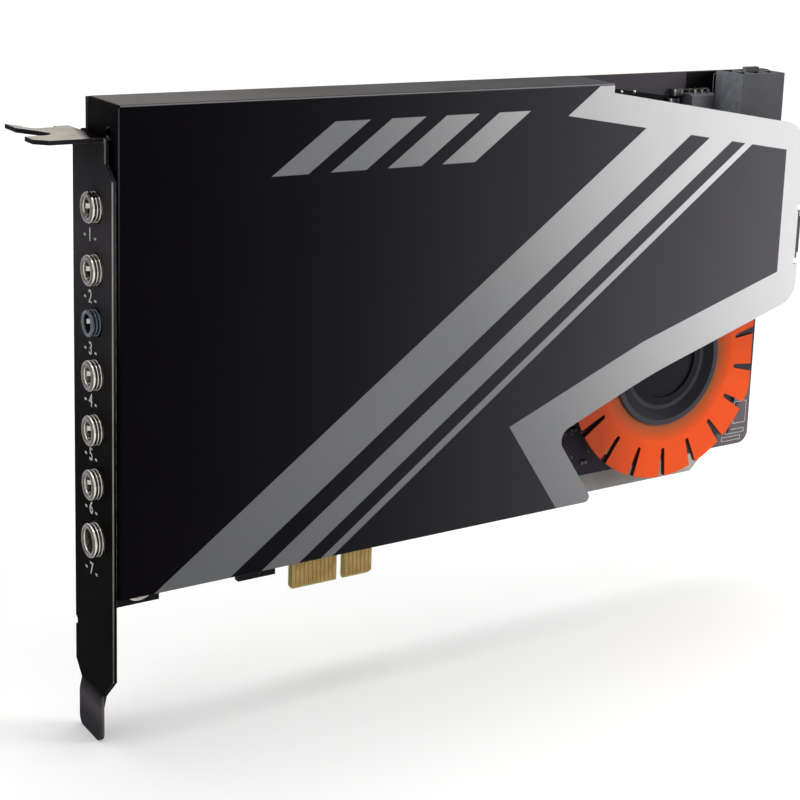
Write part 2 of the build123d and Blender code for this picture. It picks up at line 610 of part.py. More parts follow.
# Light ring: dished disc with its slots, trimmed flat towards the board's free end
ring_front = RING_BACK + RING_THICK
ring_x, ring_z = RING_CENTRE
ring_axis = Axis((ring_x, 0, ring_z), (0, 1, 0))
with BuildPart() as light_ring:
    with BuildSketch(Plane.XY.offset(ring_z)):
        with BuildLine():
            Polyline(
                (ring_x + RING_BORE / 2, -RING_BACK),
                (ring_x + RING_DIAMETER / 2, -RING_BACK),
                (ring_x + RING_DIAMETER / 2, -ring_front),
                (ring_x + RING_DISH_DIAMETER / 2, -ring_front),
                (ring_x + RING_BORE / 2, -ring_front + RING_DISH_DEPTH),
                close=True,
            )
        make_face()
    revolve(axis=ring_axis)
    with BuildSketch(Plane.XZ.offset(RING_BACK)):
        with Locations(RING_CENTRE):
            with PolarLocations(0, RING_SLOTS, start_angle=RING_SLOT_START):
                add(ring_slot.sketch)
            with Locations((RING_FLAT_FROM_CENTRE, 0)):
                Rectangle(RING_DIAMETER, 2 * RING_DIAMETER, align=(Align.MIN, Align.CENTER))
    extrude(amount=RING_THICK, mode=Mode.SUBTRACT)
light_ring.part.label = "light_ring"
export_step(light_ring.part, "parts/light_ring.step")

# Hub that carries the ring: foot on the board, flange behind the ring, flared cup in front
hub_wall = RING_BORE / 2 - HUB_CLEARANCE
hub_front = ring_front - RING_DISH_DEPTH + HUB_RIM_PROUD
cup_floor = hub_front - HUB_CUP_DEPTH
disc_floor = cup_floor - HUB_DISC_DEPTH
with BuildPart() as ring_hub:
    with BuildSketch(Plane.XY.offset(ring_z)):
        with BuildLine():
            Polyline(
                (ring_x, -BOARD_THICK / 2),
                (ring_x + HUB_FOOT_DIAMETER / 2, -BOARD_THICK / 2),
                (ring_x + HUB_FOOT_DIAMETER / 2, -RING_BACK + HUB_FLANGE_THICK),
                (ring_x + HUB_FLANGE_DIAMETER / 2, -RING_BACK + HUB_FLANGE_THICK),
                (ring_x + HUB_FLANGE_DIAMETER / 2, -RING_BACK),
                (ring_x + hub_wall, -RING_BACK),
                (ring_x + hub_wall, -hub_front),
                (ring_x + hub_wall - HUB_RIM_WIDTH, -hub_front),
                (ring_x + HUB_CUP_DIAMETER / 2, -cup_floor),
                (ring_x + HUB_DISC_DIAMETER / 2, -cup_floor),
                (ring_x + HUB_DISC_DIAMETER / 2, -disc_floor),
                (ring_x, -disc_floor),
                close=True,
            )
        make_face()
    revolve(axis=ring_axis)
ring_hub.part.label = "ring_hub"
export_step(ring_hub.part, "parts/ring_hub.step")

# Light-emitting diodes on the board behind the ring
led_circle = (RING_DIAMETER + RING_DISH_DIAMETER) / 2
with BuildPart() as ring_leds:
    with BuildSketch(BOARD_FRONT_FACE):
        with Locations(RING_CENTRE):
            with PolarLocations(led_circle / 2, LED_COUNT):
                Rectangle(LED_SIZE[0], LED_SIZE[1])
    extrude(amount=LED_SIZE[2])
ring_leds.part.label = "ring_leds"
export_step(ring_leds.part, "parts/ring_leds.step")

# Power connector: housing with open cells towards +Z, and its pins
power_width = POWER_COLUMNS * POWER_PITCH + POWER_WALL
power_depth = POWER_ROWS * POWER_PITCH + POWER_WALL
power_middle = (POWER_CENTRE_X, -BOARD_THICK / 2 - power_depth / 2)
power_top = POWER_BASE + POWER_LENGTH
power_floor = power_top - POWER_CELL_DEPTH
power_cell = POWER_PITCH - POWER_WALL
with BuildPart() as power_connector:
    with BuildSketch(Plane.XY.offset(POWER_BASE)):
        with Locations(power_middle):
            Rectangle(power_width, power_depth)
    extrude(amount=POWER_LENGTH)
    with BuildSketch(Plane.XY.offset(power_top)):
        with Locations(power_middle):
            Rectangle(POWER_RIB_WIDTH, POWER_RIB_THICK)
    extrude(amount=POWER_RIB_HEIGHT)
    with BuildSketch(Plane.XY.offset(power_floor)):
        with Locations(power_middle):
            with GridLocations(POWER_PITCH, POWER_PITCH, POWER_COLUMNS, POWER_ROWS):
                Rectangle(power_cell, power_cell)
    extrude(amount=POWER_CELL_DEPTH, mode=Mode.SUBTRACT)
power_connector.part.label = "power_connector"
export_step(power_connector.part, "parts/power_connector.step")

with BuildPart() as power_pins:
    with BuildSketch(Plane.XY.offset(power_floor)):
        with Locations(power_middle):
            with GridLocations(POWER_PITCH, POWER_PITCH, POWER_COLUMNS, POWER_ROWS):
                Rectangle(POWER_PIN, POWER_PIN)
    extrude(amount=POWER_PIN_LENGTH)
power_pins.part.label = "power_pins"
export_step(power_pins.part, "parts/power_pins.step")

# Front panel header: moulded block with pins that point up
header_x, header_z = HEADER_CENTRE
header_middle = (header_x, -BOARD_THICK / 2 - HEADER_DEPTH / 2)
with BuildPart() as front_panel_header:
    with BuildSketch(BOARD_FRONT_FACE):
        with Locations(HEADER_CENTRE):
            Rectangle(HEADER_WIDTH, HEADER_HEIGHT)
    extrude(amount=HEADER_DEPTH)
    chamfer(front_panel_header.faces().sort_by(Axis.Y)[0].edges(), length=HEADER_CHAMFER)
front_panel_header.part.label = "front_panel_header"
export_step(front_panel_header.part, "parts/front_panel_header.step")

with BuildPart() as header_pins:
    with BuildSketch(Plane.XY.offset(header_z + HEADER_HEIGHT / 2)):
        with Locations(header_middle):
            with GridLocations(HEADER_PIN_PITCH, HEADER_PIN_PITCH, HEADER_PIN_COUNT, HEADER_PIN_ROWS):
                Rectangle(HEADER_PIN, HEADER_PIN)
    extrude(amount=HEADER_PIN_REACH)
header_pins.part.label = "header_pins"
export_step(header_pins.part, "parts/header_pins.step")


def make_chips(centres, size):
    """Flat packages on the component side, with a bevelled top edge."""
    width, height, depth = size
    with BuildPart() as chips:
        with BuildSketch(BOARD_FRONT_FACE):
            with Locations(*centres):
                Rectangle(width, height)
        extrude(amount=depth)
        chamfer(chips.faces().filter_by(Axis.Y).group_by(Axis.Y)[0].edges(), length=CHIP_CHAMFER)
    return chips.part


# Chips, one node for each kind
op_amp_rows = [step - (OP_AMP_ROWS - 1) / 2 for step in range(OP_AMP_ROWS)]
op_amp_centres = [(OP_AMP_COLUMN, OP_AMP_MIDDLE + OP_AMP_PITCH * row) for row in op_amp_rows]
chip_nodes = (
    ("audio_processor", [PROCESSOR[0]], PROCESSOR[1]),
    ("dac_chip", [DAC[0]], DAC[1]),
    ("adc_chip", [ADC[0]], ADC[1]),
    ("headphone_amplifier", [HEADPHONE_AMP[0]], HEADPHONE_AMP[1]),
    ("firmware_memory", [FIRMWARE_MEMORY[0]], FIRMWARE_MEMORY[1]),
    ("op_amps", op_amp_centres, OP_AMP),
    ("relays", RELAY_CENTRES, RELAY),
    ("oscillators", OSCILLATOR_CENTRES, OSCILLATOR),
)
for chip_name, chip_centres, chip_size in chip_nodes:
    chip = make_chips(chip_centres, chip_size)
    chip.label = chip_name
    export_step(chip, f"parts/{chip_name}.step")

# Voltage regulators with a metal heat tab above the body
with BuildPart() as regulators:
    with BuildSketch(BOARD_FRONT_FACE):
        with Locations(*REGULATOR_CENTRES):
            Rectangle(REGULATOR[0], REGULATOR[1])
    extrude(amount=REGULATOR[2])
    with BuildSketch(BOARD_FRONT_FACE):
        tab_rise = (REGULATOR[1] + REGULATOR_TAB[1]) / 2
        with Locations(*[(place[0], place[1] + tab_rise) for place in REGULATOR_CENTRES]):
            Rectangle(REGULATOR_TAB[0], REGULATOR_TAB[1])
    extrude(amount=REGULATOR_TAB[2])
regulators.part.label = "regulators"
export_step(regulators.part, "parts/regulators.step")

# Power inductors
with BuildPart() as inductors:
    with BuildSketch(BOARD_FRONT_FACE):
        with Locations(*INDUCTOR_CENTRES):
            RectangleRounded(INDUCTOR[0], INDUCTOR[1], INDUCTOR_CORNER)
    extrude(amount=INDUCTOR[2])
inductors.part.label = "inductors"
export_step(inductors.part, "parts/inductors.step")


def make_capacitors(centres, diameter, height):
    """Can capacitors that stand on a square moulded base."""
    base = diameter + 2 * CAP_BASE_MARGIN
    with BuildPart() as capacitors:
        with BuildSketch(BOARD_FRONT_FACE):
            with Locations(*centres):
                Rectangle(base, base)
        extrude(amount=CAP_BASE_HEIGHT)
        with BuildSketch(BOARD_FRONT_FACE.offset(CAP_BASE_HEIGHT)):
            with Locations(*centres):
                Circle(diameter / 2)
        extrude(amount=height - CAP_BASE_HEIGHT)
        chamfer(capacitors.faces().filter_by(Axis.Y).group_by(Axis.Y)[0].edges(), length=CAP_TOP_CHAMFER)
    return capacitors.part


# Electrolytic capacitors in two sizes
small_cap_centres = [
    (
        SMALL_CAP_MIDDLE[0] + SMALL_CAP_PITCH * (column - (SMALL_CAP_COLUMNS - 1) / 2),
        SMALL_CAP_MIDDLE[1] + SMALL_CAP_PITCH * (row - (SMALL_CAP_ROWS - 1) / 2),
    )
    for column in range(SMALL_CAP_COLUMNS)
    for row in range(SMALL_CAP_ROWS)
]
small_capacitors = make_capacitors(small_cap_centres, SMALL_CAP_DIAMETER, SMALL_CAP_HEIGHT)
small_capacitors.label = "small_capacitors"
export_step(small_capacitors, "parts/small_capacitors.step")

large_cap_circle = RING_DIAMETER / 2 + LARGE_CAP_TO_RING + LARGE_CAP_DIAMETER / 2
large_cap_centres = [
    (ring_x + large_cap_circle * cos(radians(angle)), ring_z + large_cap_circle * sin(radians(angle)))
    for angle in LARGE_CAP_ANGLES
]
large_capacitors = make_capacitors(large_cap_centres, LARGE_CAP_DIAMETER, LARGE_CAP_HEIGHT)
large_capacitors.label = "large_capacitors"
export_step(large_capacitors, "parts/large_capacitors.step")
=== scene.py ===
"""Sound card for a one-lane slot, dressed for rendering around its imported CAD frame.

The frame is the card's own: +X runs from the slot bracket to the free end, -Y points out of the
component side and +Z points up. Sizes are written in millimetres and become metres when a mesh is made.
"""
import logging
import math
import random
from dataclasses import dataclass
from enum import Enum

import bmesh
import bpy
from mathutils import Matrix, Vector


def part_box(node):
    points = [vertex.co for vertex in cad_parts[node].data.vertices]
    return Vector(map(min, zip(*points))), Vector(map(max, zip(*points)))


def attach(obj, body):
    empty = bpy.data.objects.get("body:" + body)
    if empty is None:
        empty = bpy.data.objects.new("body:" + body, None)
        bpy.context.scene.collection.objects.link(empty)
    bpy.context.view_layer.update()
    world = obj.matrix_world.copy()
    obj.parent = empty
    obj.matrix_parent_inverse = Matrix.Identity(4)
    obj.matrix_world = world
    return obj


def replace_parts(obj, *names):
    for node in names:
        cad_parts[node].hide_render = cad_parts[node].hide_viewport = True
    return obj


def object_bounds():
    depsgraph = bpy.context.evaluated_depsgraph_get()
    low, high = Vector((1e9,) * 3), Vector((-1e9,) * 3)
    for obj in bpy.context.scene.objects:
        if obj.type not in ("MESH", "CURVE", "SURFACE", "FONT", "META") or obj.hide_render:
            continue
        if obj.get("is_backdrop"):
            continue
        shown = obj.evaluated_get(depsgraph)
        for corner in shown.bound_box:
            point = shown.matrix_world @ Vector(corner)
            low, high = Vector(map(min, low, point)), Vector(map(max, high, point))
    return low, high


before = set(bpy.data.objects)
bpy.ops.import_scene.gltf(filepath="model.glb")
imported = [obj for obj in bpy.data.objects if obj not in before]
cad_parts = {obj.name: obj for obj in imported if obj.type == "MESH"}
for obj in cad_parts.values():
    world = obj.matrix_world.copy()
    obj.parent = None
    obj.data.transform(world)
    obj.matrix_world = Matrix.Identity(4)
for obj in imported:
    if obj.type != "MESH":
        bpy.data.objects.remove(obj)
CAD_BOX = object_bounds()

LOG = logging.getLogger("sound_card")
MM = 0.001
SHARP_ANGLE = math.radians(32)
JACKS = 7
BODY = "root"

Point = tuple[float, float, float]
Flat = tuple[float, float]
Area = tuple[float, float, float, float]
Span = tuple[Vector, Vector]
Socket = bpy.types.NodeSocket
Value = float | Socket

BLACK = (0.0, 0.0, 0.0, 1.0)
WHITE = (1.0, 1.0, 1.0, 1.0)
TONE_SPAN = (0.2, 0.8)
SOFT = 0.04


class Effect(Enum):
    """Surface effects that several finishes share, each one shader node group."""

    EDGE_WEAR = "Edge Wear And Highlight"
    POWDER_GRAIN = "Powder Grain"
    MOULDED_GRAIN = "Moulded Grain"
    METAL_STREAKS = "Metal Streaks"
    SMUDGES = "Smudges"


class Face(Enum):
    """Faces of the board, by the sign of their outward direction along Y."""

    FRONT = -1
    BACK = 1


class LeadSides(Enum):
    """Sides of a chip package that carry leads."""

    UP_DOWN = "up_down"
    ALL_ROUND = "all_round"
    DOWN = "down"


def linear(code: str) -> tuple[float, float, float, float]:
    """Turn a written colour into the linear values that sockets take.

    Args:
        code: six hexadecimal digits after a hash sign.

    Returns:
        Red, green, blue and an alpha of 1.
    """
    parts = [int(code[place:place + 2], 16) / 255 for place in (1, 3, 5)]
    curved = [part / 12.92 if part <= 0.04045 else ((part + 0.055) / 1.055) ** 2.4 for part in parts]
    return curved[0], curved[1], curved[2], 1.0


class Graph:
    """Adds and joins nodes in one shader tree."""

    MIX_FIRST = 6
    MIX_SECOND = 7
    FACING_SPAN = (0.4, 0.6)

    def __init__(self, tree: bpy.types.NodeTree) -> None:
        """Keep the tree that the nodes go into."""
        self.tree = tree

    def join(self, socket: Socket, value: object) -> None:
        """Link a socket to another one, or set its own value.

        Args:
            socket: input that is fed.
            value: output socket to link, or a plain value.
        """
        if isinstance(value, bpy.types.NodeSocket):
            self.tree.links.new(value, socket)
        else:
            socket.default_value = value

    def add(self, kind: str, values: dict | None = None, **settings: object) -> bpy.types.Node:
        """Add one node.

        Args:
            kind: node type without its ShaderNode prefix.
            values: inputs by name or index, each a plain value or a socket.
            settings: properties of the node.

        Returns:
            The new node.
        """
        node = self.tree.nodes.new("ShaderNode" + kind)
        for key, setting in settings.items():
            setattr(node, key, setting)
        for key, value in (values or {}).items():
            self.join(node.inputs[key], value)
        return node

    def math(self, operation: str, first: Value, second: Value = 0.0, third: Value = 0.0) -> Socket:
        """Add a maths node.

        Args:
            operation: the node's operation.
            first: first operand.
            second: second operand.
            third: third operand.

        Returns:
            The result.
        """
        return self.add("Math", {0: first, 1: second, 2: third}, operation=operation).outputs[0]

    def product(self, first: Value, *others: Value) -> Socket:
        """Multiply some values.

        Args:
            first: first value.
            others: the other values.

        Returns:
            The product.
        """
        for other in others:
            first = self.math("MULTIPLY", first, other)
        return first

    def peak(self, first: Value, *others: Value) -> Socket:
        """Give the largest of some values.

        Args:
            first: first value.
            others: the other values.

        Returns:
            The largest value.
        """
        for other in others:
            first = self.math("MAXIMUM", first, other)
        return first

    def step(self, value: Value, low: float, high: float, to_low: Value = 0.0,
             to_high: float = 1.0) -> Socket:
        """Map a value between two limits, clamped.

        Args:
            value: what is mapped.
            low: lower limit.
            high: upper limit.
            to_low: result at the lower limit.
            to_high: result at the upper limit.

        Returns:
            The mapped value.
        """
        node = self.add("MapRange", {0: value, 1: low, 2: high, 3: to_low, 4: to_high})
        return node.outputs[0]

    def ease(self, value: Value, low: float, high: float) -> Socket:
        """Give 0 below one limit and 1 above another, with a smooth run between them."""
        return self.add("MapRange", {0: value, 1: low, 2: high}, interpolation_type="SMOOTHSTEP").outputs[0]

    def blend(self, factor: Value, first: object, second: object) -> Socket:
        """Mix two colours.

        Args:
            factor: share of the second colour.
            first: colour or socket.
            second: colour or socket.

        Returns:
            The mixed colour.
        """
        node = self.add("Mix", data_type="RGBA")
        self.join(node.inputs[0], factor)
        self.join(node.inputs[self.MIX_FIRST], first)
        self.join(node.inputs[self.MIX_SECOND], second)
        return node.outputs[2]

    def millimetres(self) -> Socket:
        """Give the place on the object in millimetres of the card's frame."""
        place = self.add("TexCoord").outputs["Object"]
        return self.add("VectorMath", {0: place, "Scale": 1 / MM}, operation="SCALE").outputs[0]

    def split(self, vector: Socket) -> tuple[Socket, Socket, Socket]:
        """Give a vector's three parts."""
        node = self.add("SeparateXYZ", {0: vector})
        return node.outputs[0], node.outputs[1], node.outputs[2]

    def join_up(self, x: Value, y: Value, z: Value = 0.0) -> Socket:
        """Make a vector of three parts."""
        return self.add("CombineXYZ", {0: x, 1: y, 2: z}).outputs[0]

    def noise(self, vector: Socket, scale: Value, detail: float = 2.0) -> Socket:
        """Give noise between 0 and 1.

        Args:
            vector: place in millimetres.
            scale: waves in a millimetre.
            detail: octaves.

        Returns:
            The noise.
        """
        return self.add("TexNoise", {"Vector": vector, "Scale": scale, "Detail": detail}).outputs[0]

    def line(self, across: Socket, up: Socket, point: Flat, angle: float) -> Socket:
        """Give the signed distance from a slanted line on the front plane.

        Args:
            across: place along X.
            up: place along Z.
            point: a point of the line.
            angle: slope of the line in degrees.

        Returns:
            The distance, positive on the upper left.
        """
        turn = math.radians(angle)
        start = point[0] * math.sin(turn) - point[1] * math.cos(turn)
        slanted = self.math("MULTIPLY_ADD", across, -math.sin(turn), start)
        return self.math("MULTIPLY_ADD", up, math.cos(turn), slanted)

    def between(self, value: Socket, low: float, high: float, soft: float = SOFT) -> Socket:
        """Give 1 between two limits and 0 elsewhere, with a soft edge."""
        rise = self.step(value, low - soft, low + soft)
        fall = self.step(value, high - soft, high + soft, 1.0, 0.0)
        return self.product(rise, fall)

    def effect(self, effect: Effect, **values: object) -> bpy.types.Node:
        """Place a shared effect.

        Args:
            effect: which node group.
            values: its inputs, with underscores for spaces.

        Returns:
            The group node.
        """
        node = self.add("Group", node_tree=EffectShelf.get(effect))
        for key, value in values.items():
            self.join(node.inputs[key.replace("_", " ")], value)
        return node

    def bump(self, height: Socket, distance: float, strength: float, under: Socket | None = None) -> Socket:
        """Give a bumped normal.

        Args:
            height: height between 0 and 1.
            distance: height of the bump in millimetres.
            strength: strength of the bump.
            under: normal that the bump lies on, if not the surface's own.

        Returns:
            The normal.
        """
        node = self.add("Bump", {"Height": height, "Distance": distance * MM, "Strength": strength})
        if under is not None:
            self.join(node.inputs["Normal"], under)
        return node.outputs[0]

    def facing(self) -> tuple[Socket, Socket, Socket]:
        """Give how much the surface faces along each axis, either way."""
        parts = self.split(self.add("NewGeometry").outputs["Normal"])
        return tuple(self.math("ABSOLUTE", part) for part in parts)

    def flatness(self, axis: int) -> Socket:
        """Give 1 where the surface faces along an axis, either way, and 0 where it runs along it."""
        return self.step(self.facing()[axis], *self.FACING_SPAN)

    def radius(self, place: Socket, centre: Flat) -> Socket:
        """Give the distance from an axis that runs along Y.

        Args:
            place: place in millimetres.
            centre: the axis, along X and Z.

        Returns:
            The distance.
        """
        across, _, up = self.split(place)
        away = self.join_up(self.math("SUBTRACT", across, centre[0]), self.math("SUBTRACT", up, centre[1]))
        return self.add("VectorMath", {0: away}, operation="LENGTH").outputs["Value"]


class EffectShelf:
    """Builds each shared effect once and hands it out."""

    EDGE_MATCH = (0.985, 0.80)
    WORN_PATCH = (0.35, 0.62)
    FINER = 2.3
    SLOW = 0.06
    FINE_SHARE = 0.35
    COARSER = 0.12
    SPECKLE_SHARE = 0.6
    CLOUD = 0.35
    BLOTCH = (0.45, 0.7)

    @classmethod
    def get(cls, effect: Effect) -> bpy.types.NodeTree:
        """Give an effect's node group, built on first use.

        Args:
            effect: which effect.

        Returns:
            The node group.
        """
        made = bpy.data.node_groups.get(effect.value)
        if made is None:
            made = bpy.data.node_groups.new(effect.value, "ShaderNodeTree")
            getattr(cls, effect.name.lower())(made)
        return made

    @staticmethod
    def sockets(tree: bpy.types.NodeTree, inputs: dict[str, float],
                outputs: tuple[str, ...]) -> tuple[Graph, dict, dict]:
        """Give a group its sockets, with a place vector first.

        Args:
            tree: the group.
            inputs: names and starting values of its number inputs.
            outputs: names of its outputs.

        Returns:
            A graph for the group, its inputs and its output sockets, by name.
        """
        tree.interface.new_socket(name="Place", in_out="INPUT", socket_type="NodeSocketVector")
        for name, value in inputs.items():
            socket = tree.interface.new_socket(name=name, in_out="INPUT", socket_type="NodeSocketFloat")
            socket.default_value = value
        for name in outputs:
            kind = "NodeSocketVector" if name == "Normal" else "NodeSocketFloat"
            tree.interface.new_socket(name=name, in_out="OUTPUT", socket_type=kind)
        entry = tree.nodes.new("NodeGroupInput")
        leave = tree.nodes.new("NodeGroupOutput")
        return (
            Graph(tree),
            {socket.name: socket for socket in entry.outputs if socket.name},
            {socket.name: socket for socket in leave.inputs if socket.name},
        )

    @classmethod
    def edge_wear(cls, tree: bpy.types.NodeTree) -> None:
        """Rubbed paint along sharp edges, partly a painted highlight there: a mask from the bent normal,
        broken up by noise.
        """
        inputs = {"Radius": 0.0003, "Amount": 1.0, "Breakup": 0.6}
        graph, entry, leave = cls.sockets(tree, inputs, ("Mask", "Normal"))
        bent = graph.add("Bevel", {"Radius": entry["Radius"]}, samples=4).outputs[0]
        straight = graph.add("NewGeometry").outputs["Normal"]
        match = graph.add("VectorMath", {0: bent, 1: straight}, operation="DOT_PRODUCT").outputs["Value"]
        edge = graph.step(match, *cls.EDGE_MATCH)
        patchy = graph.step(graph.noise(entry["Place"], entry["Breakup"], 4.0), *cls.WORN_PATCH)
        rubbed_edge_and_highlight = graph.product(edge, patchy, entry["Amount"])
        graph.join(leave["Mask"], rubbed_edge_and_highlight)
        graph.join(leave["Normal"], bent)

    @classmethod
    def powder_grain(cls, tree: bpy.types.NodeTree) -> None:
        """Fine pebbled paint: a height for bump and a slow tone for colour and gloss."""
        graph, entry, leave = cls.sockets(tree, {"Scale": 3.0}, ("Height", "Tone"))
        pebbles = {"Vector": entry["Place"], "Scale": entry["Scale"]}
        pebble = graph.add("TexVoronoi", pebbles, feature="SMOOTH_F1")
        fine = graph.noise(entry["Place"], graph.product(entry["Scale"], cls.FINER), 3.0)
        graph.join(leave["Height"], graph.math("MULTIPLY_ADD", fine, 0.5, pebble.outputs["Distance"]))
        slow = graph.product(graph.noise(entry["Place"], cls.SLOW, 3.0), 1 - cls.FINE_SHARE)
        graph.join(leave["Tone"], graph.math("MULTIPLY_ADD", fine, cls.FINE_SHARE, slow))

    @classmethod
    def moulded_grain(cls, tree: bpy.types.NodeTree) -> None:
        """Spark-eroded plastic: a fine height and a speckled tone."""
        graph, entry, leave = cls.sockets(tree, {"Scale": 4.0}, ("Height", "Tone"))
        fine = graph.noise(entry["Place"], entry["Scale"], 5.0)
        coarse = graph.noise(entry["Place"], graph.product(entry["Scale"], cls.COARSER), 2.0)
        coarse = graph.product(coarse, 1 - cls.SPECKLE_SHARE)
        graph.join(leave["Height"], fine)
        graph.join(leave["Tone"], graph.math("MULTIPLY_ADD", fine, cls.SPECKLE_SHARE, coarse))

    @classmethod
    def metal_streaks(cls, tree: bpy.types.NodeTree) -> None:
        """Drawn or turned metal: streaks across the stretch, with slow cloudy oxide."""
        graph, entry, leave = cls.sockets(tree, {"Scale": 6.0, "Along": 0.05}, ("Streak", "Cloud"))
        x, y, z = graph.split(entry["Place"])
        pulled = graph.join_up(x, graph.product(y, entry["Along"]), z)
        graph.join(leave["Streak"], graph.noise(pulled, entry["Scale"], 3.0))
        graph.join(leave["Cloud"], graph.noise(entry["Place"], cls.CLOUD, 3.0))

    @classmethod
    def smudges(cls, tree: bpy.types.NodeTree) -> None:
        """Handling marks: soft blotches that dull the gloss."""
        graph, entry, leave = cls.sockets(tree, {"Scale": 0.05, "Amount": 0.5}, ("Mask",))
        blotch = graph.noise(entry["Place"], entry["Scale"], 5.0)
        graph.join(leave["Mask"], graph.product(graph.step(blotch, *cls.BLOTCH), entry["Amount"]))


@dataclass(frozen=True)
class Finish:
    """What every finish has: a name, a colour and the plain values of its shader."""

    name: str
    base: str
    roughness: float = 0.5
    metallic: float = 0.0
    specular: float = 0.5

    def material(self) -> bpy.types.Material:
        """Give the finish's material, made on first use.

        Returns:
            The material.
        """
        made = bpy.data.materials.get(self.name)
        if made is None:
            made = bpy.data.materials.new(self.name)
            made.use_nodes = True
            shader = made.node_tree.nodes["Principled BSDF"]
            shader.inputs["Metallic"].default_value = self.metallic
            shader.inputs["Specular IOR Level"].default_value = self.specular
            self.wire(Graph(made.node_tree), shader)
        return made

    def wire(self, graph: Graph, shader: bpy.types.Node) -> None:
        """Add the finish's own nodes.

        Args:
            graph: the material's tree.
            shader: its principled shader.
        """
        raise NotImplementedError

    def tones(self, graph: Graph, tone: Socket, spread: float) -> Socket:
        """Vary the base colour.

        Args:
            graph: the material's tree.
            tone: value between 0 and 1 that picks the shade.
            spread: share of the colour by which the shades differ.

        Returns:
            The colour.
        """
        red, green, blue, _ = linear(self.base)
        dark = tuple(part * (1 - spread) for part in (red, green, blue)) + (1.0,)
        light = tuple(min(part * (1 + spread), 1.0) for part in (red, green, blue)) + (1.0,)
        return graph.blend(tone, dark, light)

    def gloss(self, graph: Graph, tone: Socket, spread: float) -> Socket:
        """Vary the roughness.

        Args:
            graph: the material's tree.
            tone: value between 0 and 1 that picks the roughness.
            spread: how far the roughness goes to either side.

        Returns:
            The roughness.
        """
        return graph.step(tone, *TONE_SPAN, self.roughness - spread, self.roughness + spread)


@dataclass(frozen=True)
class Paint(Finish):
    """Baked paint on sheet steel, rubbed to the metal along its edges, with a painted highlight there too."""

    worn_and_highlight: str = "#8d8b88"
    grain: float = 3.2
    grain_depth: float = 0.02
    edge_radius: float = 0.22
    wear_and_highlight: float = 0.6
    spread: float = 0.25
    gloss_spread: float = 0.05
    grain_strength: float = 0.5
    smudge_scale: float = 0.07
    smudge: float = 0.12

    def wire(self, graph: Graph, shader: bpy.types.Node) -> None:
        """Pebbled paint with smudges and worn edges that also carry a painted highlight."""
        place = graph.millimetres()
        grain = graph.effect(Effect.POWDER_GRAIN, Place=place, Scale=self.grain)
        wear_and_highlight = graph.effect(Effect.EDGE_WEAR, Place=place, Radius=self.edge_radius * MM, Amount=self.wear_and_highlight)
        smudge = graph.effect(Effect.SMUDGES, Place=place, Scale=self.smudge_scale, Amount=self.smudge)
        colour = self.colour(graph, place, grain.outputs["Tone"])
        # worn edges: partly rubbed paint, partly a painted highlight along the edges
        graph.join(shader.inputs["Base Color"], graph.blend(wear_and_highlight.outputs["Mask"], colour, linear(self.worn_and_highlight)))
        rough = self.gloss(graph, grain.outputs["Tone"], self.gloss_spread)
        graph.join(shader.inputs["Roughness"], graph.math("ADD", rough, smudge.outputs["Mask"]))
        normal = wear_and_highlight.outputs["Normal"]
        normal = graph.bump(grain.outputs["Height"], self.grain_depth, self.grain_strength, normal)
        graph.join(shader.inputs["Normal"], normal)

    def colour(self, graph: Graph, place: Socket, tone: Socket) -> Socket:
        """Give the paint's colour over the surface.

        Args:
            graph: the material's tree.
            place: place in millimetres.
            tone: value between 0 and 1 from the grain.

        Returns:
            The colour.
        """
        return self.tones(graph, tone, self.spread)


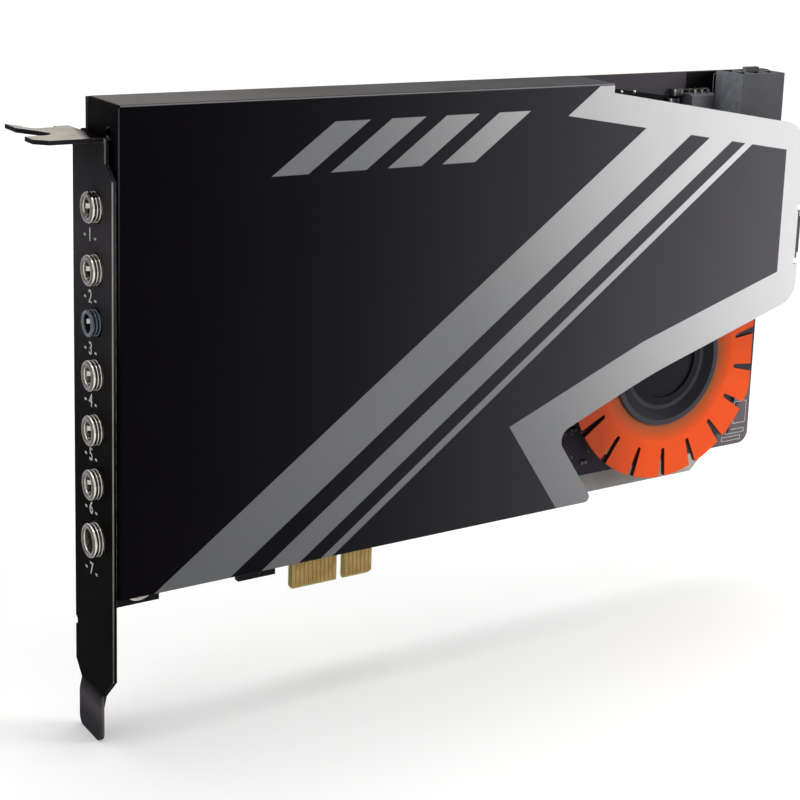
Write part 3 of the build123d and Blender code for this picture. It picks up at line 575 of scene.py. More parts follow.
@dataclass(frozen=True)
class BracketPaint(Paint):
    """Bracket paint under a painted sheen towards the top, with sheared edges that are partly bare and partly
    a painted highlight, a painted highlight on the foot's joggle and a painted reflection on the tab's upper
    face.
    """

    upper: str = "#3f3c40"
    foot: str = "#39373a"
    joggle_highlight: str = "#4e4b4f"
    # pale painted reflection on the tab's upper face
    bare: str = "#beb9ad"
    sheared_edge_highlight: str = "#b8b4aa"
    tab_top: float = 101.22
    arris: Flat = (-58.5, -58.1)
    fade: Flat = (28.0, 82.0)
    fade_top: Flat = (82.0, 100.0)
    fade_foot: Flat = (-8.5, -11.5)
    fade_joggle: Flat = (-15.5, -12.5)
    fade_sheared: Flat = (-8.0, 32.0)
    fade_arris: Flat = (32.0, 85.0)
    fade_tab_reflection: Flat = (-58.0, -59.8)
    tab_bend_reflection: str = "#080808"
    tab_skin: Flat = (0.06, 0.03)
    grey_power: float = 1.8
    top_grey: float = 0.45
    cloud_scale: float = 0.25
    cloud_span: Flat = (0.3, 0.7)
    cloud_least: float = 0.75
    square_on: Flat = (0.85, 0.95)
    sheared_shares: Flat = (0.18, 0.6)
    arris_share: float = 0.25
    reflection_lean: float = -0.25

    def colour(self, graph: Graph, place: Socket, tone: Socket) -> Socket:
        """Near black under a painted sheen that greys it upwards, a paler foot with a painted highlight on
        its joggle, bare metal and a painted highlight on the sheared edges, and a painted reflection on the
        tab's upper face.
        """
        across, out, up = graph.split(place)
        # painted sheen: greyer from the middle upwards, easing off again at the top
        rise = graph.step(up, *self.fade)
        sheen = graph.math("POWER", rise, self.grey_power)
        sheen = graph.product(sheen, graph.step(up, *self.fade_top, 1.0, self.top_grey))
        paint = graph.blend(sheen, self.tones(graph, tone, self.spread), linear(self.upper))
        # paler paint on the foot; the lighter band on its joggle is a painted highlight where the bend faces
        # the light
        low = graph.blend(graph.step(up, *self.fade_joggle), linear(self.foot), linear(self.joggle_highlight))
        paint = graph.blend(graph.step(up, *self.fade_foot), paint, low)
        cloud = graph.noise(place, self.cloud_scale, 3.0)
        cloud = graph.step(cloud, *self.cloud_span, self.cloud_least, 1.0)
        # bright sheared edge: partly bare metal, partly a painted highlight, brighter higher up
        straight = graph.step(graph.facing()[1], *self.square_on)
        edge = graph.product(straight, graph.between(across, *self.arris))
        lower = graph.step(up, *self.fade_sheared, *self.sheared_shares)
        bright = graph.math("ADD", lower, graph.step(up, *self.fade_arris, 0.0, self.arris_share))
        paint = graph.blend(graph.product(edge, bright, cloud), paint, linear(self.sheared_edge_highlight))
        # painted reflection on the tab's upper face: pale over the tab, going dark towards the bend where it
        # mirrors the shroud; the tab under it is black paint
        skin = graph.step(up, self.tab_top - self.tab_skin[0], self.tab_top - self.tab_skin[1])
        top = graph.product(skin, graph.flatness(2))
        reflection_reach = graph.step(graph.math("MULTIPLY_ADD", out, self.reflection_lean, across), *self.fade_tab_reflection)
        plated = graph.blend(graph.product(reflection_reach, cloud), linear(self.tab_bend_reflection), linear(self.bare))
        return graph.blend(top, paint, plated)


@dataclass(frozen=True)
class PrintedPaint(Paint):
    """Shroud paint with straight silver stripes and a silver band along the free edges of its front."""

    far_sheen: str = "#605e63"
    far_power: float = 2.0
    ink_near: str = "#5f6062"
    ink_middle: str = "#78797b"
    ink_far: str = "#e8e8e9"
    ink_lean: float = 0.68
    ink_level: float = 40.0
    ink_slow: Flat = (-62.0, 20.0)
    ink_fast: Flat = (20.0, 145.0)
    bend: str = "#9a9a9c"
    side: str = "#040404"
    end_turn: str = "#555658"
    turn_span: Flat = (63.6, 75.1)
    turn_wide: float = 1.0
    lid_light: str = "#686563"
    lid_fade: Flat = (-57.0, 62.0)
    corner_fade: Flat = (60.0, 95.0)
    corner_share: float = 0.22
    fold_share: float = 0.6
    flat_on: Flat = (0.9, 0.98)
    bent_on: Flat = (0.40, 0.49)
    front: float = -15.1
    left: float = -57.19
    right: float = 116.2
    flange_end: float = 57.0
    shoulder: float = 105.4
    slope: float = -9.5
    cut_end: Flat = (116.2, 53.7)
    cut_angles: Flat = (17.0, 22.0)
    cut_corner: Flat = (46.0, 29.66)
    cut_side: float = 123.5
    edge_band: float = 8.6
    end_band: float = 6.4
    stripe_angle: float = 36.0
    stripe_foot: Flat = (-50.0, 12.6)
    stripes: tuple[Flat, ...] = ((-9.5, 0.0), (-18.6, -13.6), (-23.2, -21.6))
    band_start: Flat = (40.0, 97.5)
    tick_rows: Flat = (92.5, 102.5)
    tick_span: Flat = (-26.0, 24.0)
    tick_pitch: float = 13.0
    tick_share: float = 0.62
    tick_soft: float = 0.004
    flake_scale: float = 9.0
    flake_span: Flat = (0.35, 0.75)
    flake_share: float = 0.08
    front_skin: Flat = (0.05, 0.02)

    def colour(self, graph: Graph, place: Socket, tone: Socket) -> Socket:
        """Dark paint under a painted sheen that lifts towards the free end, with the silver print on the
        front brightening the same way as a painted reflection, painted shade on the side flange, painted
        light on the top flange and painted highlights along the folds.
        """
        across, out, up = graph.split(place)
        # painted sheen: the paint lifts towards the free end
        run = graph.step(across, self.left, self.right)
        near = self.tones(graph, tone, self.spread)
        paint = graph.blend(graph.math("POWER", run, self.far_power), near, linear(self.far_sheen))
        # the silver ink is print; its brightening from near to far is a painted reflection
        lean = graph.math("MULTIPLY_ADD", graph.math("SUBTRACT", up, self.ink_level), self.ink_lean, across)
        ink = graph.blend(graph.step(lean, *self.ink_slow), linear(self.ink_near), linear(self.ink_middle))
        ink = graph.blend(graph.ease(lean, *self.ink_fast), ink, linear(self.ink_far))
        flake = graph.noise(place, self.flake_scale, 1.0)
        ink = graph.blend(graph.step(flake, *self.flake_span, 0.0, self.flake_share), ink, WHITE)
        front = graph.step(out, self.front + self.front_skin[0], self.front + self.front_skin[1])
        sheet = graph.blend(graph.product(front, self.silver(graph, across, up)), paint, ink)
        over, outward, upward = graph.facing()
        begin = self.right - self.turn_wide
        turn = graph.step(across, begin - SOFT, begin + SOFT)
        turn = graph.product(graph.between(up, *self.turn_span), turn)
        sheet = graph.blend(turn, sheet, linear(self.end_turn))
        # painted shade: faces along X go near black
        sheet = graph.blend(graph.step(over, *self.flat_on), sheet, linear(self.side))
        # painted light on the upward faces, fading towards the free end
        lid_light = graph.product(graph.step(upward, *self.flat_on), graph.step(across, *self.lid_fade, 1.0, 0.0))
        sheet = graph.blend(lid_light, sheet, linear(self.lid_light))
        # painted highlight along the left and top folds
        corner = graph.step(graph.product(outward, over), *self.bent_on, 0.0, self.corner_share)
        corner = graph.product(corner, graph.step(up, *self.corner_fade))
        fold = graph.step(graph.product(outward, upward), *self.bent_on, 0.0, self.fold_share)
        return graph.blend(graph.peak(corner, fold), sheet, linear(self.bend))

    def silver(self, graph: Graph, across: Socket, up: Socket) -> Socket:
        """Give the share of silver ink on the front.

        Args:
            graph: the material's tree.
            across: place along X.
            up: place along Z.

        Returns:
            The mask.
        """
        foot = graph.line(across, up, self.stripe_foot, self.stripe_angle)
        shares = [graph.between(foot, low, high) for low, high in self.stripes]
        upper = graph.line(across, up, self.cut_end, self.cut_angles[0])
        lower = graph.line(across, up, self.cut_corner, self.cut_angles[1])
        side = graph.line(across, up, self.cut_corner, self.cut_side)
        cut = graph.peak(upper, lower, side)
        slope = graph.line(across, up, (self.flange_end, self.shoulder), self.slope)
        slope = graph.product(slope, -1.0)
        end = graph.math("SUBTRACT", self.right, across)
        begin = graph.line(across, up, self.band_start, self.stripe_angle)
        top = graph.peak(slope, graph.math("ADD", begin, self.end_band))
        for distance, width in ((cut, self.edge_band), (top, self.end_band), (end, self.end_band)):
            shares.append(graph.step(distance, width - SOFT, width + SOFT, 1.0, 0.0))
        shares.append(self.ticks(graph, across, up))
        return graph.peak(*shares)

    def ticks(self, graph: Graph, across: Socket, up: Socket) -> Socket:
        """Give a row of short slanted ticks below the top edge.

        Args:
            graph: the material's tree.
            across: place along X.
            up: place along Z.

        Returns:
            The mask.
        """
        lean = graph.math("MULTIPLY_ADD", up, -1 / math.tan(math.radians(self.stripe_angle)), across)
        start = self.tick_span[0] - self.tick_rows[0] / math.tan(math.radians(self.stripe_angle))
        place = graph.math("SUBTRACT", lean, start)
        wave = graph.math("FRACT", graph.math("DIVIDE", place, self.tick_pitch))
        tick = graph.between(wave, 0.0, self.tick_share, self.tick_soft)
        row = graph.between(up, *self.tick_rows)
        span = graph.between(place, 0.0, self.tick_span[1] - self.tick_span[0])
        return graph.product(tick, row, span)


@dataclass(frozen=True)
class Metal(Finish):
    """Plated, turned or drawn metal with streaks and a little oxide."""

    dull: str = "#6f6a62"
    streak: float = 6.0
    along: float = 0.06
    oxide: float = 0.25
    spread: float = 0.12
    patch_scale: float = 0.4
    cloud_span: Flat = (0.4, 0.75)
    streak_span: Flat = (0.25, 0.75)
    streak_depth: float = 0.006
    streak_strength: float = 0.3
    gloss_share: float = 0.3
    metallic: float = 1.0

    def wire(self, graph: Graph, shader: bpy.types.Node) -> None:
        """Streaked metal with cloudy dull patches."""
        place = graph.millimetres()
        streaks = graph.effect(Effect.METAL_STREAKS, Place=place, Scale=self.streak, Along=self.along)
        smudge = graph.effect(Effect.SMUDGES, Place=place, Scale=self.patch_scale, Amount=self.oxide)
        colour = self.tones(graph, streaks.outputs["Streak"], self.spread)
        dull = graph.product(graph.step(streaks.outputs["Cloud"], *self.cloud_span), self.oxide)
        colour = self.shade(graph, graph.blend(dull, colour, linear(self.dull)))
        graph.join(shader.inputs["Base Color"], colour)
        swing = self.roughness * self.gloss_share
        rough = graph.step(streaks.outputs["Streak"], *self.streak_span,
                           self.roughness - swing, self.roughness + swing)
        graph.join(shader.inputs["Roughness"], graph.math("ADD", rough, smudge.outputs["Mask"]))
        normal = graph.bump(streaks.outputs["Streak"], self.streak_depth, self.streak_strength)
        graph.join(shader.inputs["Normal"], normal)

    def shade(self, graph: Graph, colour: Socket) -> Socket:
        """Give the metal's colour where a subclass changes it, such as with painted shade."""
        return colour


@dataclass(frozen=True)
class TurnedMetal(Metal):
    """Collar metal: bright bands round it and a darker face at the mouth, painted shade standing in for its
    darker reflection.
    """

    # painted shade on the faces along the jack
    face: str = "#63605c"

    def shade(self, graph: Graph, colour: Socket) -> Socket:
        """Darken what faces along the jack, as painted shade."""
        return graph.blend(graph.flatness(0), colour, linear(self.face))


@dataclass(frozen=True)
class Plastic(Finish):
    """Moulded plastic with a fine eroded grain."""

    grain: float = 4.0
    grain_depth: float = 0.02
    spread: float = 0.3
    gloss_spread: float = 0.06
    grain_strength: float = 0.4
    smudge_scale: float = 0.2
    smudge: float = 0.1

    def wire(self, graph: Graph, shader: bpy.types.Node) -> None:
        """Grained plastic with softened edges."""
        place = graph.millimetres()
        grain = graph.effect(Effect.MOULDED_GRAIN, Place=place, Scale=self.grain)
        smudge = graph.effect(Effect.SMUDGES, Place=place, Scale=self.smudge_scale, Amount=self.smudge)
        graph.join(shader.inputs["Base Color"], self.colour(graph, place, grain.outputs["Tone"]))
        rough = self.gloss(graph, grain.outputs["Tone"], self.gloss_spread)
        graph.join(shader.inputs["Roughness"], graph.math("ADD", rough, smudge.outputs["Mask"]))
        normal = graph.bump(grain.outputs["Height"], self.grain_depth, self.grain_strength)
        graph.join(shader.inputs["Normal"], normal)

    def colour(self, graph: Graph, place: Socket, tone: Socket) -> Socket:
        """Give the plastic's colour over the surface.

        Args:
            graph: the material's tree.
            place: place in millimetres.
            tone: value between 0 and 1 from the grain.

        Returns:
            The colour.
        """
        return self.tones(graph, tone, self.spread)


@dataclass(frozen=True)
class SideLitPlastic(Plastic):
    """Connector plastic with painted light in patches on its upright sides."""

    side_light: str = "#acb0b8"
    side_light_scale: float = 0.5
    side_light_span: Flat = (0.3, 0.7)
    side_light_least: float = 0.55

    def colour(self, graph: Graph, place: Socket, tone: Socket) -> Socket:
        """Grained plastic, with painted light where it faces along the board."""
        # painted light in patches on the faces along X
        patch = graph.noise(place, self.side_light_scale, 4.0)
        patch = graph.step(patch, *self.side_light_span, self.side_light_least, 1.0)
        side = graph.product(graph.flatness(0), patch)
        return graph.blend(side, self.tones(graph, tone, self.spread), linear(self.side_light))


@dataclass(frozen=True)
class RingPlastic(Plastic):
    """Orange light guide with painted shade towards the hub and on its walls, and a painted shadow from the
    sheet.
    """

    centre: Flat = (83.85, 40.0)
    bore: float = 15.5
    dish: float = 19.8
    deep: str = "#95562c"
    wall: str = "#4a1f10"
    shaded: str = "#5a2c1c"
    shade_across: Flat = (64.0, 79.0)
    shade_up: Flat = (48.0, 32.0)
    least_across: float = 0.42
    least_up: float = 0.72

    def colour(self, graph: Graph, place: Socket, tone: Socket) -> Socket:
        """Orange with painted shade inside the dish and on the walls, and a painted shadow towards the sheet
        that covers it.
        """
        radius = graph.radius(place, self.centre)
        across, _, up = graph.split(place)
        clear = self.tones(graph, tone, self.spread)
        # painted shade: darker inside the dish towards the hub
        top = graph.blend(graph.step(radius, self.bore, self.dish), linear(self.deep), clear)
        # painted shadow of the sheet: darker towards the left and towards the top
        light = graph.product(graph.step(across, *self.shade_across, self.least_across, 1.0),
                              graph.step(up, *self.shade_up, self.least_up, 1.0))
        top = graph.blend(light, linear(self.shaded), top)
        # painted shade on the walls that do not face along Y
        return graph.blend(graph.flatness(1), linear(self.wall), top)


@dataclass(frozen=True)
class TurnedPlastic(Plastic):
    """Hub plastic with fine turned rings, with painted light on the outer lip and the inner step and painted
    shade on the recessed step between them.
    """

    centre: Flat = (83.85, 40.0)
    pitch: float = 0.5
    ring_share: float = 0.12
    tone_share: float = 0.8
    step_least: float = 0.8
    steps: tuple[tuple[float, float, str], ...] = (
        (14.15, 15.6, "#47464d"), (11.7, 14.15, "#252428"), (10.8, 11.7, "#403f45"))

    def colour(self, graph: Graph, place: Socket, tone: Socket) -> Socket:
        """Black with faint rings about the hub's axis, and painted light and shade step by step."""
        radius = graph.radius(place, self.centre)
        ring = graph.math("SINE", graph.product(radius, 2 * math.pi / self.pitch))
        shade = graph.math("MULTIPLY_ADD", ring, self.ring_share, graph.product(tone, self.tone_share))
        colour = self.tones(graph, shade, self.spread)
        # painted light on the lips and painted shade in the recess, one tone for each step
        for inner, outer, code in self.steps:
            share = graph.step(shade, 0.0, 1.0, 1.0, self.step_least)
            share = graph.product(graph.between(radius, inner, outer), share)
            colour = graph.blend(share, colour, linear(code))
        return colour


@dataclass(frozen=True)
class Laminate(Finish):
    """Circuit board: dark mask over traces and planes, bare core at the tongue and the edges."""

    trace: str = "#3e3a43"
    core: str = "#c2b676"
    fibre: str = "#8f8450"
    edge: str = "#1f1c1a"
    via: str = "#6b655c"
    strip: str = "#979390"
    pale: str = "#6c6568"
    strip_span: Flat = (57.0, 104.0)
    strip_top: float = 12.75
    pale_across: Flat = (99.0, 110.0)
    pale_up: Flat = (56.0, 40.0)
    shade_centre: Flat = (90.7, 38.6)
    shade_edge: Flat = (27.4, 28.6)
    strip_end: str = "#b9b6b1"
    strip_fade: Flat = (94.0, 99.0)
    ledge_light: str = "#514e54"
    ledge_span: Flat = (57.0, 89.9)
    ledge_low: float = 100.0
    ledge_share: float = 0.85
    cover_shadow: str = "#060507"
    cover_line: Flat = (75.3, 103.2)
    cover_slope: float = -8.0
    cover_from: float = 89.9
    cover_low: float = 92.0
    lug_top: float = 13.0
    lug_end: float = 50.0
    lug_share: float = 0.75
    tongue: tuple[float, float, float] = (-12.5, 8.5, 6.9)
    cell: float = 13.0
    pitch: float = 0.85
    via_pitch: float = 2.4
    via_edge: Flat = (0.13, 0.10)
    via_from: float = 0.78
    wander: float = 0.85
    level_from: float = 0.36
    tilt_from: float = 0.74
    run_span: Flat = (0.3, 0.72)
    run_soft: float = 0.06
    plane_from: float = 0.45
    plane_share: float = 0.7
    seam: float = 0.02
    border: float = 0.1
    tongue_border: float = 0.05
    cover_fade: float = 2.0
    lug_fade: float = 1.0
    fibre_scale: float = 2.5
    rim_share: float = 0.08
    rim_rough: float = 0.35
    smudge_scale: float = 0.06
    smudge: float = 0.18
    relief: float = 0.03
    relief_strength: float = 0.6

    def wire(self, graph: Graph, shader: bpy.types.Node) -> None:
        """Traces under gloss mask, plated vias, bare core."""
        place = graph.millimetres()
        across, out, up = graph.split(place)
        flat = graph.join_up(across, up)
        traces = self.traces(graph, across, up, flat)
        vias = self.vias(graph, flat)
        colour = graph.blend(traces, linear(self.base), linear(self.trace))
        colour = graph.blend(vias, colour, linear(self.via))
        colour = self.free_corner(graph, across, out, up, colour)
        inside = graph.between(across, self.tongue[0], self.tongue[1])
        bare = graph.product(inside, graph.step(up, self.tongue[2], self.tongue[2] - self.tongue_border))
        fibre = graph.noise(place, self.fibre_scale, 4.0)
        core = graph.blend(fibre, linear(self.fibre), linear(self.core))
        side = graph.math("SUBTRACT", 1.0, graph.flatness(1))
        rim = graph.blend(graph.product(fibre, self.rim_share), linear(self.edge), core)
        colour = graph.blend(side, colour, rim)
        graph.join(shader.inputs["Base Color"], graph.blend(bare, colour, core))
        smudge = graph.effect(Effect.SMUDGES, Place=place, Scale=self.smudge_scale, Amount=self.smudge)
        rough = graph.math("MULTIPLY_ADD", side, self.rim_rough, self.roughness)
        graph.join(shader.inputs["Roughness"], graph.math("ADD", rough, smudge.outputs["Mask"]))
        height = graph.math("ADD", traces, vias)
        graph.join(shader.inputs["Normal"], graph.bump(height, self.relief, self.relief_strength))

    def free_corner(self, graph: Graph, across: Socket, out: Socket, up: Socket, colour: Socket) -> Socket:
        """Paint light on the front's free corner, kept off inside a painted ring shadow, lighten its lower
        strip, paint light on the ledge under the top edge and paint the shadow where the sheet covers the
        board and its lugs.

        Args:
            graph: the material's tree.
            across: place along X.
            out: place along Y.
            up: place along Z.
            colour: the mask's colour elsewhere.

        Returns:
            The colour.
        """
        front = graph.step(out, self.border, -self.border)
        # painted light on the free corner; inside the offset circle it stays dark as the ring's painted
        # shadow
        corner = graph.product(front, graph.step(across, *self.pale_across), graph.step(up, *self.pale_up))
        away = graph.step(graph.radius(graph.join_up(across, 0.0, up), self.shade_centre), *self.shade_edge)
        colour = graph.blend(graph.product(corner, away), colour, linear(self.pale))
        # lighter strip along the lower edge, paler towards its end
        low = graph.step(up, self.strip_top + SOFT, self.strip_top - SOFT)
        strip = graph.product(low, graph.between(across, *self.strip_span))
        strip_colour = graph.blend(graph.step(across, *self.strip_fade), linear(self.strip), linear(self.strip_end))
        colour = graph.blend(graph.product(front, strip), colour, strip_colour)
        # painted light on the strip of board above the sheet's shadow
        ledge_light = graph.step(up, self.ledge_low, self.ledge_low + self.border)
        ledge_light = graph.product(front, graph.between(across, *self.ledge_span), ledge_light, self.ledge_share)
        colour = graph.blend(ledge_light, colour, linear(self.ledge_light))
        # painted shadow where the sheet covers the board, beside the connector and on the lower lugs
        under = graph.line(across, up, self.cover_line, self.cover_slope)
        under = graph.step(under, self.border, -self.border)
        beside = graph.step(across, self.cover_from - self.border, self.cover_from + self.border)
        above = graph.step(up, self.cover_low - self.cover_fade, self.cover_low)
        under = graph.product(graph.peak(under, beside), above)
        below = graph.step(up, self.lug_top, self.lug_top - self.lug_fade)
        lugs = graph.step(across, self.lug_end, self.lug_end - self.lug_fade)
        lugs = graph.product(below, lugs, self.lug_share)
        return graph.blend(graph.product(front, graph.peak(under, lugs)), colour, linear(self.cover_shadow))

    def traces(self, graph: Graph, across: Socket, up: Socket, flat: Socket) -> Socket:
        """Lay runs of parallel traces that change direction from field to field.

        Args:
            graph: the material's tree.
            across: place along X.
            up: place along Z.
            flat: both as a vector.

        Returns:
            The share of trace, which is its height too.
        """
        fields = graph.add("TexVoronoi", {"Vector": flat, "Scale": 1 / self.cell, "Randomness": self.wander},
                           voronoi_dimensions="2D", distance="CHEBYCHEV")
        pick, busy, _ = graph.split(fields.outputs["Color"])
        slanted = graph.product(graph.math("ADD", across, up), math.sqrt(0.5))
        level = graph.math("GREATER_THAN", pick, self.level_from)
        tilt = graph.math("GREATER_THAN", pick, self.tilt_from)
        along = graph.math("ADD", graph.product(level, up),
                           graph.product(graph.math("SUBTRACT", 1.0, level), across))
        along = graph.math("ADD", graph.product(tilt, slanted),
                           graph.product(graph.math("SUBTRACT", 1.0, tilt), along))
        wave = graph.math("FRACT", graph.math("DIVIDE", along, self.pitch))
        run = graph.between(wave, *self.run_span, self.run_soft)
        planes = graph.math("GREATER_THAN", busy, self.plane_from)
        bare_run = graph.product(run, graph.math("SUBTRACT", 1.0, planes))
        share = graph.peak(graph.product(planes, self.plane_share), bare_run)
        seam = graph.step(fields.outputs["Distance"], 0.0, self.seam)
        return graph.product(share, seam)

    def vias(self, graph: Graph, flat: Socket) -> Socket:
        """Give the share of plated via pads."""
        dots = graph.add("TexVoronoi", {"Vector": flat, "Scale": 1 / self.via_pitch}, voronoi_dimensions="2D")
        chance, _, _ = graph.split(dots.outputs["Color"])
        near = graph.step(dots.outputs["Distance"], *self.via_edge)
        return graph.product(near, graph.math("GREATER_THAN", chance, self.via_from))


@dataclass(frozen=True)
class Ink(Finish):
    """Screened legend ink, a little thin in places."""

    thin: str = "#9a9a98"
    thin_rough: float = 0.1
    patch_scale: float = 2.2
    patch_span: Flat = (0.3, 0.6)

    def wire(self, graph: Graph, shader: bpy.types.Node) -> None:
        """Pale ink with thin patches."""
        place = graph.millimetres()
        patch = graph.step(graph.noise(place, self.patch_scale, 4.0), *self.patch_span)
        graph.join(shader.inputs["Base Color"], graph.blend(patch, linear(self.thin), linear(self.base)))
        rough = graph.step(patch, 0.0, 1.0, self.roughness + self.thin_rough, self.roughness)
        graph.join(shader.inputs["Roughness"], rough)


class Finishes(Enum):
    """The finishes of the card's nodes and of the scene's own pieces."""

    SHROUD = PrintedPaint("printed_sheet_paint", "#0d0b0e", 0.52, 0.0, 0.01, wear_and_highlight=0.35)
    BRACKET = BracketPaint("satin_bracket_paint", "#070707", 0.34, 0.0, 0.002, wear_and_highlight=0.8)
    BOARD = Laminate("dark_board_mask", "#343238", 0.34, 0.0, 0.05)
    GOLD = Metal("gold_flash", "#a48656", 0.34, dull="#75502a", streak=3.0, oxide=0.45)
    NICKEL = TurnedMetal("turned_nickel", "#e4e0d8", 0.14, dull="#9d9991", oxide=0.1)
    SLIM = Metal("dull_collar", "#5c616a", 0.26, dull="#3a3e45", oxide=0.3)
    STEEL = Metal("zinc_steel", "#b9b7b1", 0.28)
    SCREW = Metal("black_plated_steel", "#4a494b", 0.34, dull="#26262a")
    TIN = Metal("bright_tin", "#c9c8c4", 0.32, dull="#8a8985")
    SOLDER = Metal("dull_solder", "#6b6a67", 0.5, dull="#454442")
    CAN = Metal("can_aluminium", "#c5c6c8", 0.3, dull="#8f9092", along=1.0)
    RING = RingPlastic("orange_light_guide", "#f4561a", 0.5, 0.0, 0.12, spread=0.08)
    HUB = TurnedPlastic("turned_hub_plastic", "#252327", 0.45, 0.0, 0.03)
    LED = Plastic("clear_diode_resin", "#d8cf9c", 0.25, spread=0.1)
    CONNECTOR = SideLitPlastic(
        "grained_connector_plastic", "#3a393e", 0.5, 0.0, 0.22, grain=2.6, grain_depth=0.05)
    HEADER = Plastic("pale_header_plastic", "#57555c", 0.5, 0.0, 0.4, grain=2.6, grain_depth=0.05)
    CHIP = Plastic("moulded_chip_epoxy", "#1b1b1d", 0.55, grain=6.0)
    RELAY = Plastic("pale_relay_plastic", "#e4e1d8", 0.45, spread=0.06)
    FERRITE = Plastic("pressed_ferrite", "#39383a", 0.6, grain=3.0)
    JACK = Plastic("jack_body_plastic", "#161617", 0.5)
    LEGEND = Ink("legend_ink", "#d9d9d6", 0.6)

    def material(self) -> bpy.types.Material:
        """Give the finish's material."""
        return self.value.material()


class Workpiece:
    """A mesh in the making, in millimetres of the card's frame."""

    def __init__(self, name: str) -> None:
        """Start an empty mesh under the piece's name."""
        self.name = name
        self.mesh = bmesh.new()

    def block(self, low: Point, high: Point, edge: float = 0.0) -> None:
        """Add a block with softened edges.

        Args:
            low: lowest corner.
            high: highest corner.
            edge: width of the softened edges.
        """
        size = Vector(high) - Vector(low)
        middle = (Vector(high) + Vector(low)) / 2
        place = Matrix.Translation(middle) @ Matrix.Diagonal((*size, 1.0))
        made = bmesh.ops.create_cube(self.mesh, size=1.0, matrix=place)
        if edge:
            edges = list({line for corner in made["verts"] for line in corner.link_edges})
            bmesh.ops.bevel(self.mesh, geom=edges, offset=edge, segments=2, affect="EDGES", profile=0.5)

    def turned(self, profile: tuple[Flat, ...], centre: Point, axis: Vector, sides: int = 16,
               closed: bool = False) -> None:
        """Add a turned body.

        Args:
            profile: radius and distance along the axis, point by point.
            centre: where the axis starts.
            axis: direction of the axis.
            sides: steps round the axis.
            closed: whether the profile's last point joins its first.
        """
        turn = Vector((0, 0, 1)).rotation_difference(axis).to_matrix()
        rings = []
        for radius, along in profile:
            corners = []
            for step in range(sides if radius else 1):
                angle = 2 * math.pi * step / sides
                local = Vector((radius * math.cos(angle), radius * math.sin(angle), along))
                corners.append(self.mesh.verts.new(Vector(centre) + turn @ local))
            rings.append(corners)
        for first, second in zip(rings, rings[1:] + rings[:1] if closed else rings[1:]):
            for step in range(sides):
                after = (step + 1) % sides
                corners = [first[step % len(first)], first[after % len(first)],
                           second[after % len(second)], second[step % len(second)]]
                unique = list(dict.fromkeys(corners))
                if len(unique) > 2:
                    self.mesh.faces.new(unique)

    def ribbon(self, points: list[Vector], wide: Vector, thick: float) -> None:
        """Add a flat strip that follows some points.

        Args:
            points: middle of the strip, point by point.
            wide: half of the strip's width, as a direction.
            thick: thickness of the strip.
        """
        loops = []
        for place, point in enumerate(points):
            before = points[max(place - 1, 0)]
            after = points[min(place + 1, len(points) - 1)]
            lift = (after - before).cross(wide).normalized() * (thick / 2)
            shifts = (wide + lift, -wide + lift, -wide - lift, wide - lift)
            loops.append([self.mesh.verts.new(point + shift) for shift in shifts])
        for first, second in zip(loops, loops[1:]):
            for side in range(4):
                after = (side + 1) % 4
                self.mesh.faces.new([first[side], first[after], second[after], second[side]])
        self.mesh.faces.new(loops[0])
        self.mesh.faces.new(list(reversed(loops[-1])))

    def plate(self, outline: list[Vector], thick: Vector) -> None:
        """Add a flat plate.

        Args:
            outline: corners in order.
            thick: its thickness, as a direction.
        """
        low = [self.mesh.verts.new(corner) for corner in outline]
        high = [self.mesh.verts.new(corner + thick) for corner in outline]
        self.mesh.faces.new(list(reversed(low)))
        self.mesh.faces.new(high)
        for place in range(len(outline)):
            after = (place + 1) % len(outline)
            self.mesh.faces.new([low[place], low[after], high[after], high[place]])

    def done(self, finish: Finishes, slot: str) -> bpy.types.Object:
        """Turn the mesh into a piece of the card.

        Args:
            finish: its finish.
            slot: the record's material slot that it belongs to; not used.

        Returns:
            The piece.
        """
        bmesh.ops.recalc_face_normals(self.mesh, faces=self.mesh.faces)
        bmesh.ops.scale(self.mesh, vec=(MM, MM, MM), verts=self.mesh.verts)
        data = bpy.data.meshes.new(self.name)
        self.mesh.to_mesh(data)
        self.mesh.free()
        data.polygons.foreach_set("use_smooth", [True] * len(data.polygons))
        data.set_sharp_from_angle(angle=SHARP_ANGLE)
        data.materials.append(finish.material())
        piece = bpy.data.objects.new(self.name, data)
        bpy.context.scene.collection.objects.link(piece)
        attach(piece, BODY)
        LOG.info("piece %s: %d faces", self.name, len(data.polygons))
        return piece


def dress(node: str, finish: Finishes) -> None:
    """Give a CAD node its finish.

    Args:
        node: name of the node.
        finish: its finish.
    """
    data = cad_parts[node].data
    data.materials.clear()
    data.materials.append(finish.material())
    LOG.info("node %s: %s", node, finish.value.name)


def solids_of(node: str) -> list[Span]:
    """Find the separate solids of a CAD node.

    Args:
        node: name of the node.

    Returns:
        Lowest and highest corner of each solid, in millimetres.
    """
    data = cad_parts[node].data
    keys = [tuple(round(part / MM, 3) for part in corner.co) for corner in data.vertices]
    parent = {key: key for key in keys}

    def root(key: Point) -> Point:
        """Follow a corner to the corner that stands for its solid."""
        while parent[key] != key:
            parent[key] = parent[parent[key]]
            key = parent[key]
        return key

    for face in data.polygons:
        first = root(keys[face.vertices[0]])
        for corner in face.vertices[1:]:
            parent[root(keys[corner])] = first
    groups: dict[Point, list[Point]] = {}
    for key in parent:
        groups.setdefault(root(key), []).append(key)
    spans = [(Vector(map(min, zip(*group))), Vector(map(max, zip(*group)))) for group in groups.values()]
    return sorted(spans, key=lambda span: tuple(round(part, 2) for part in span[0]))


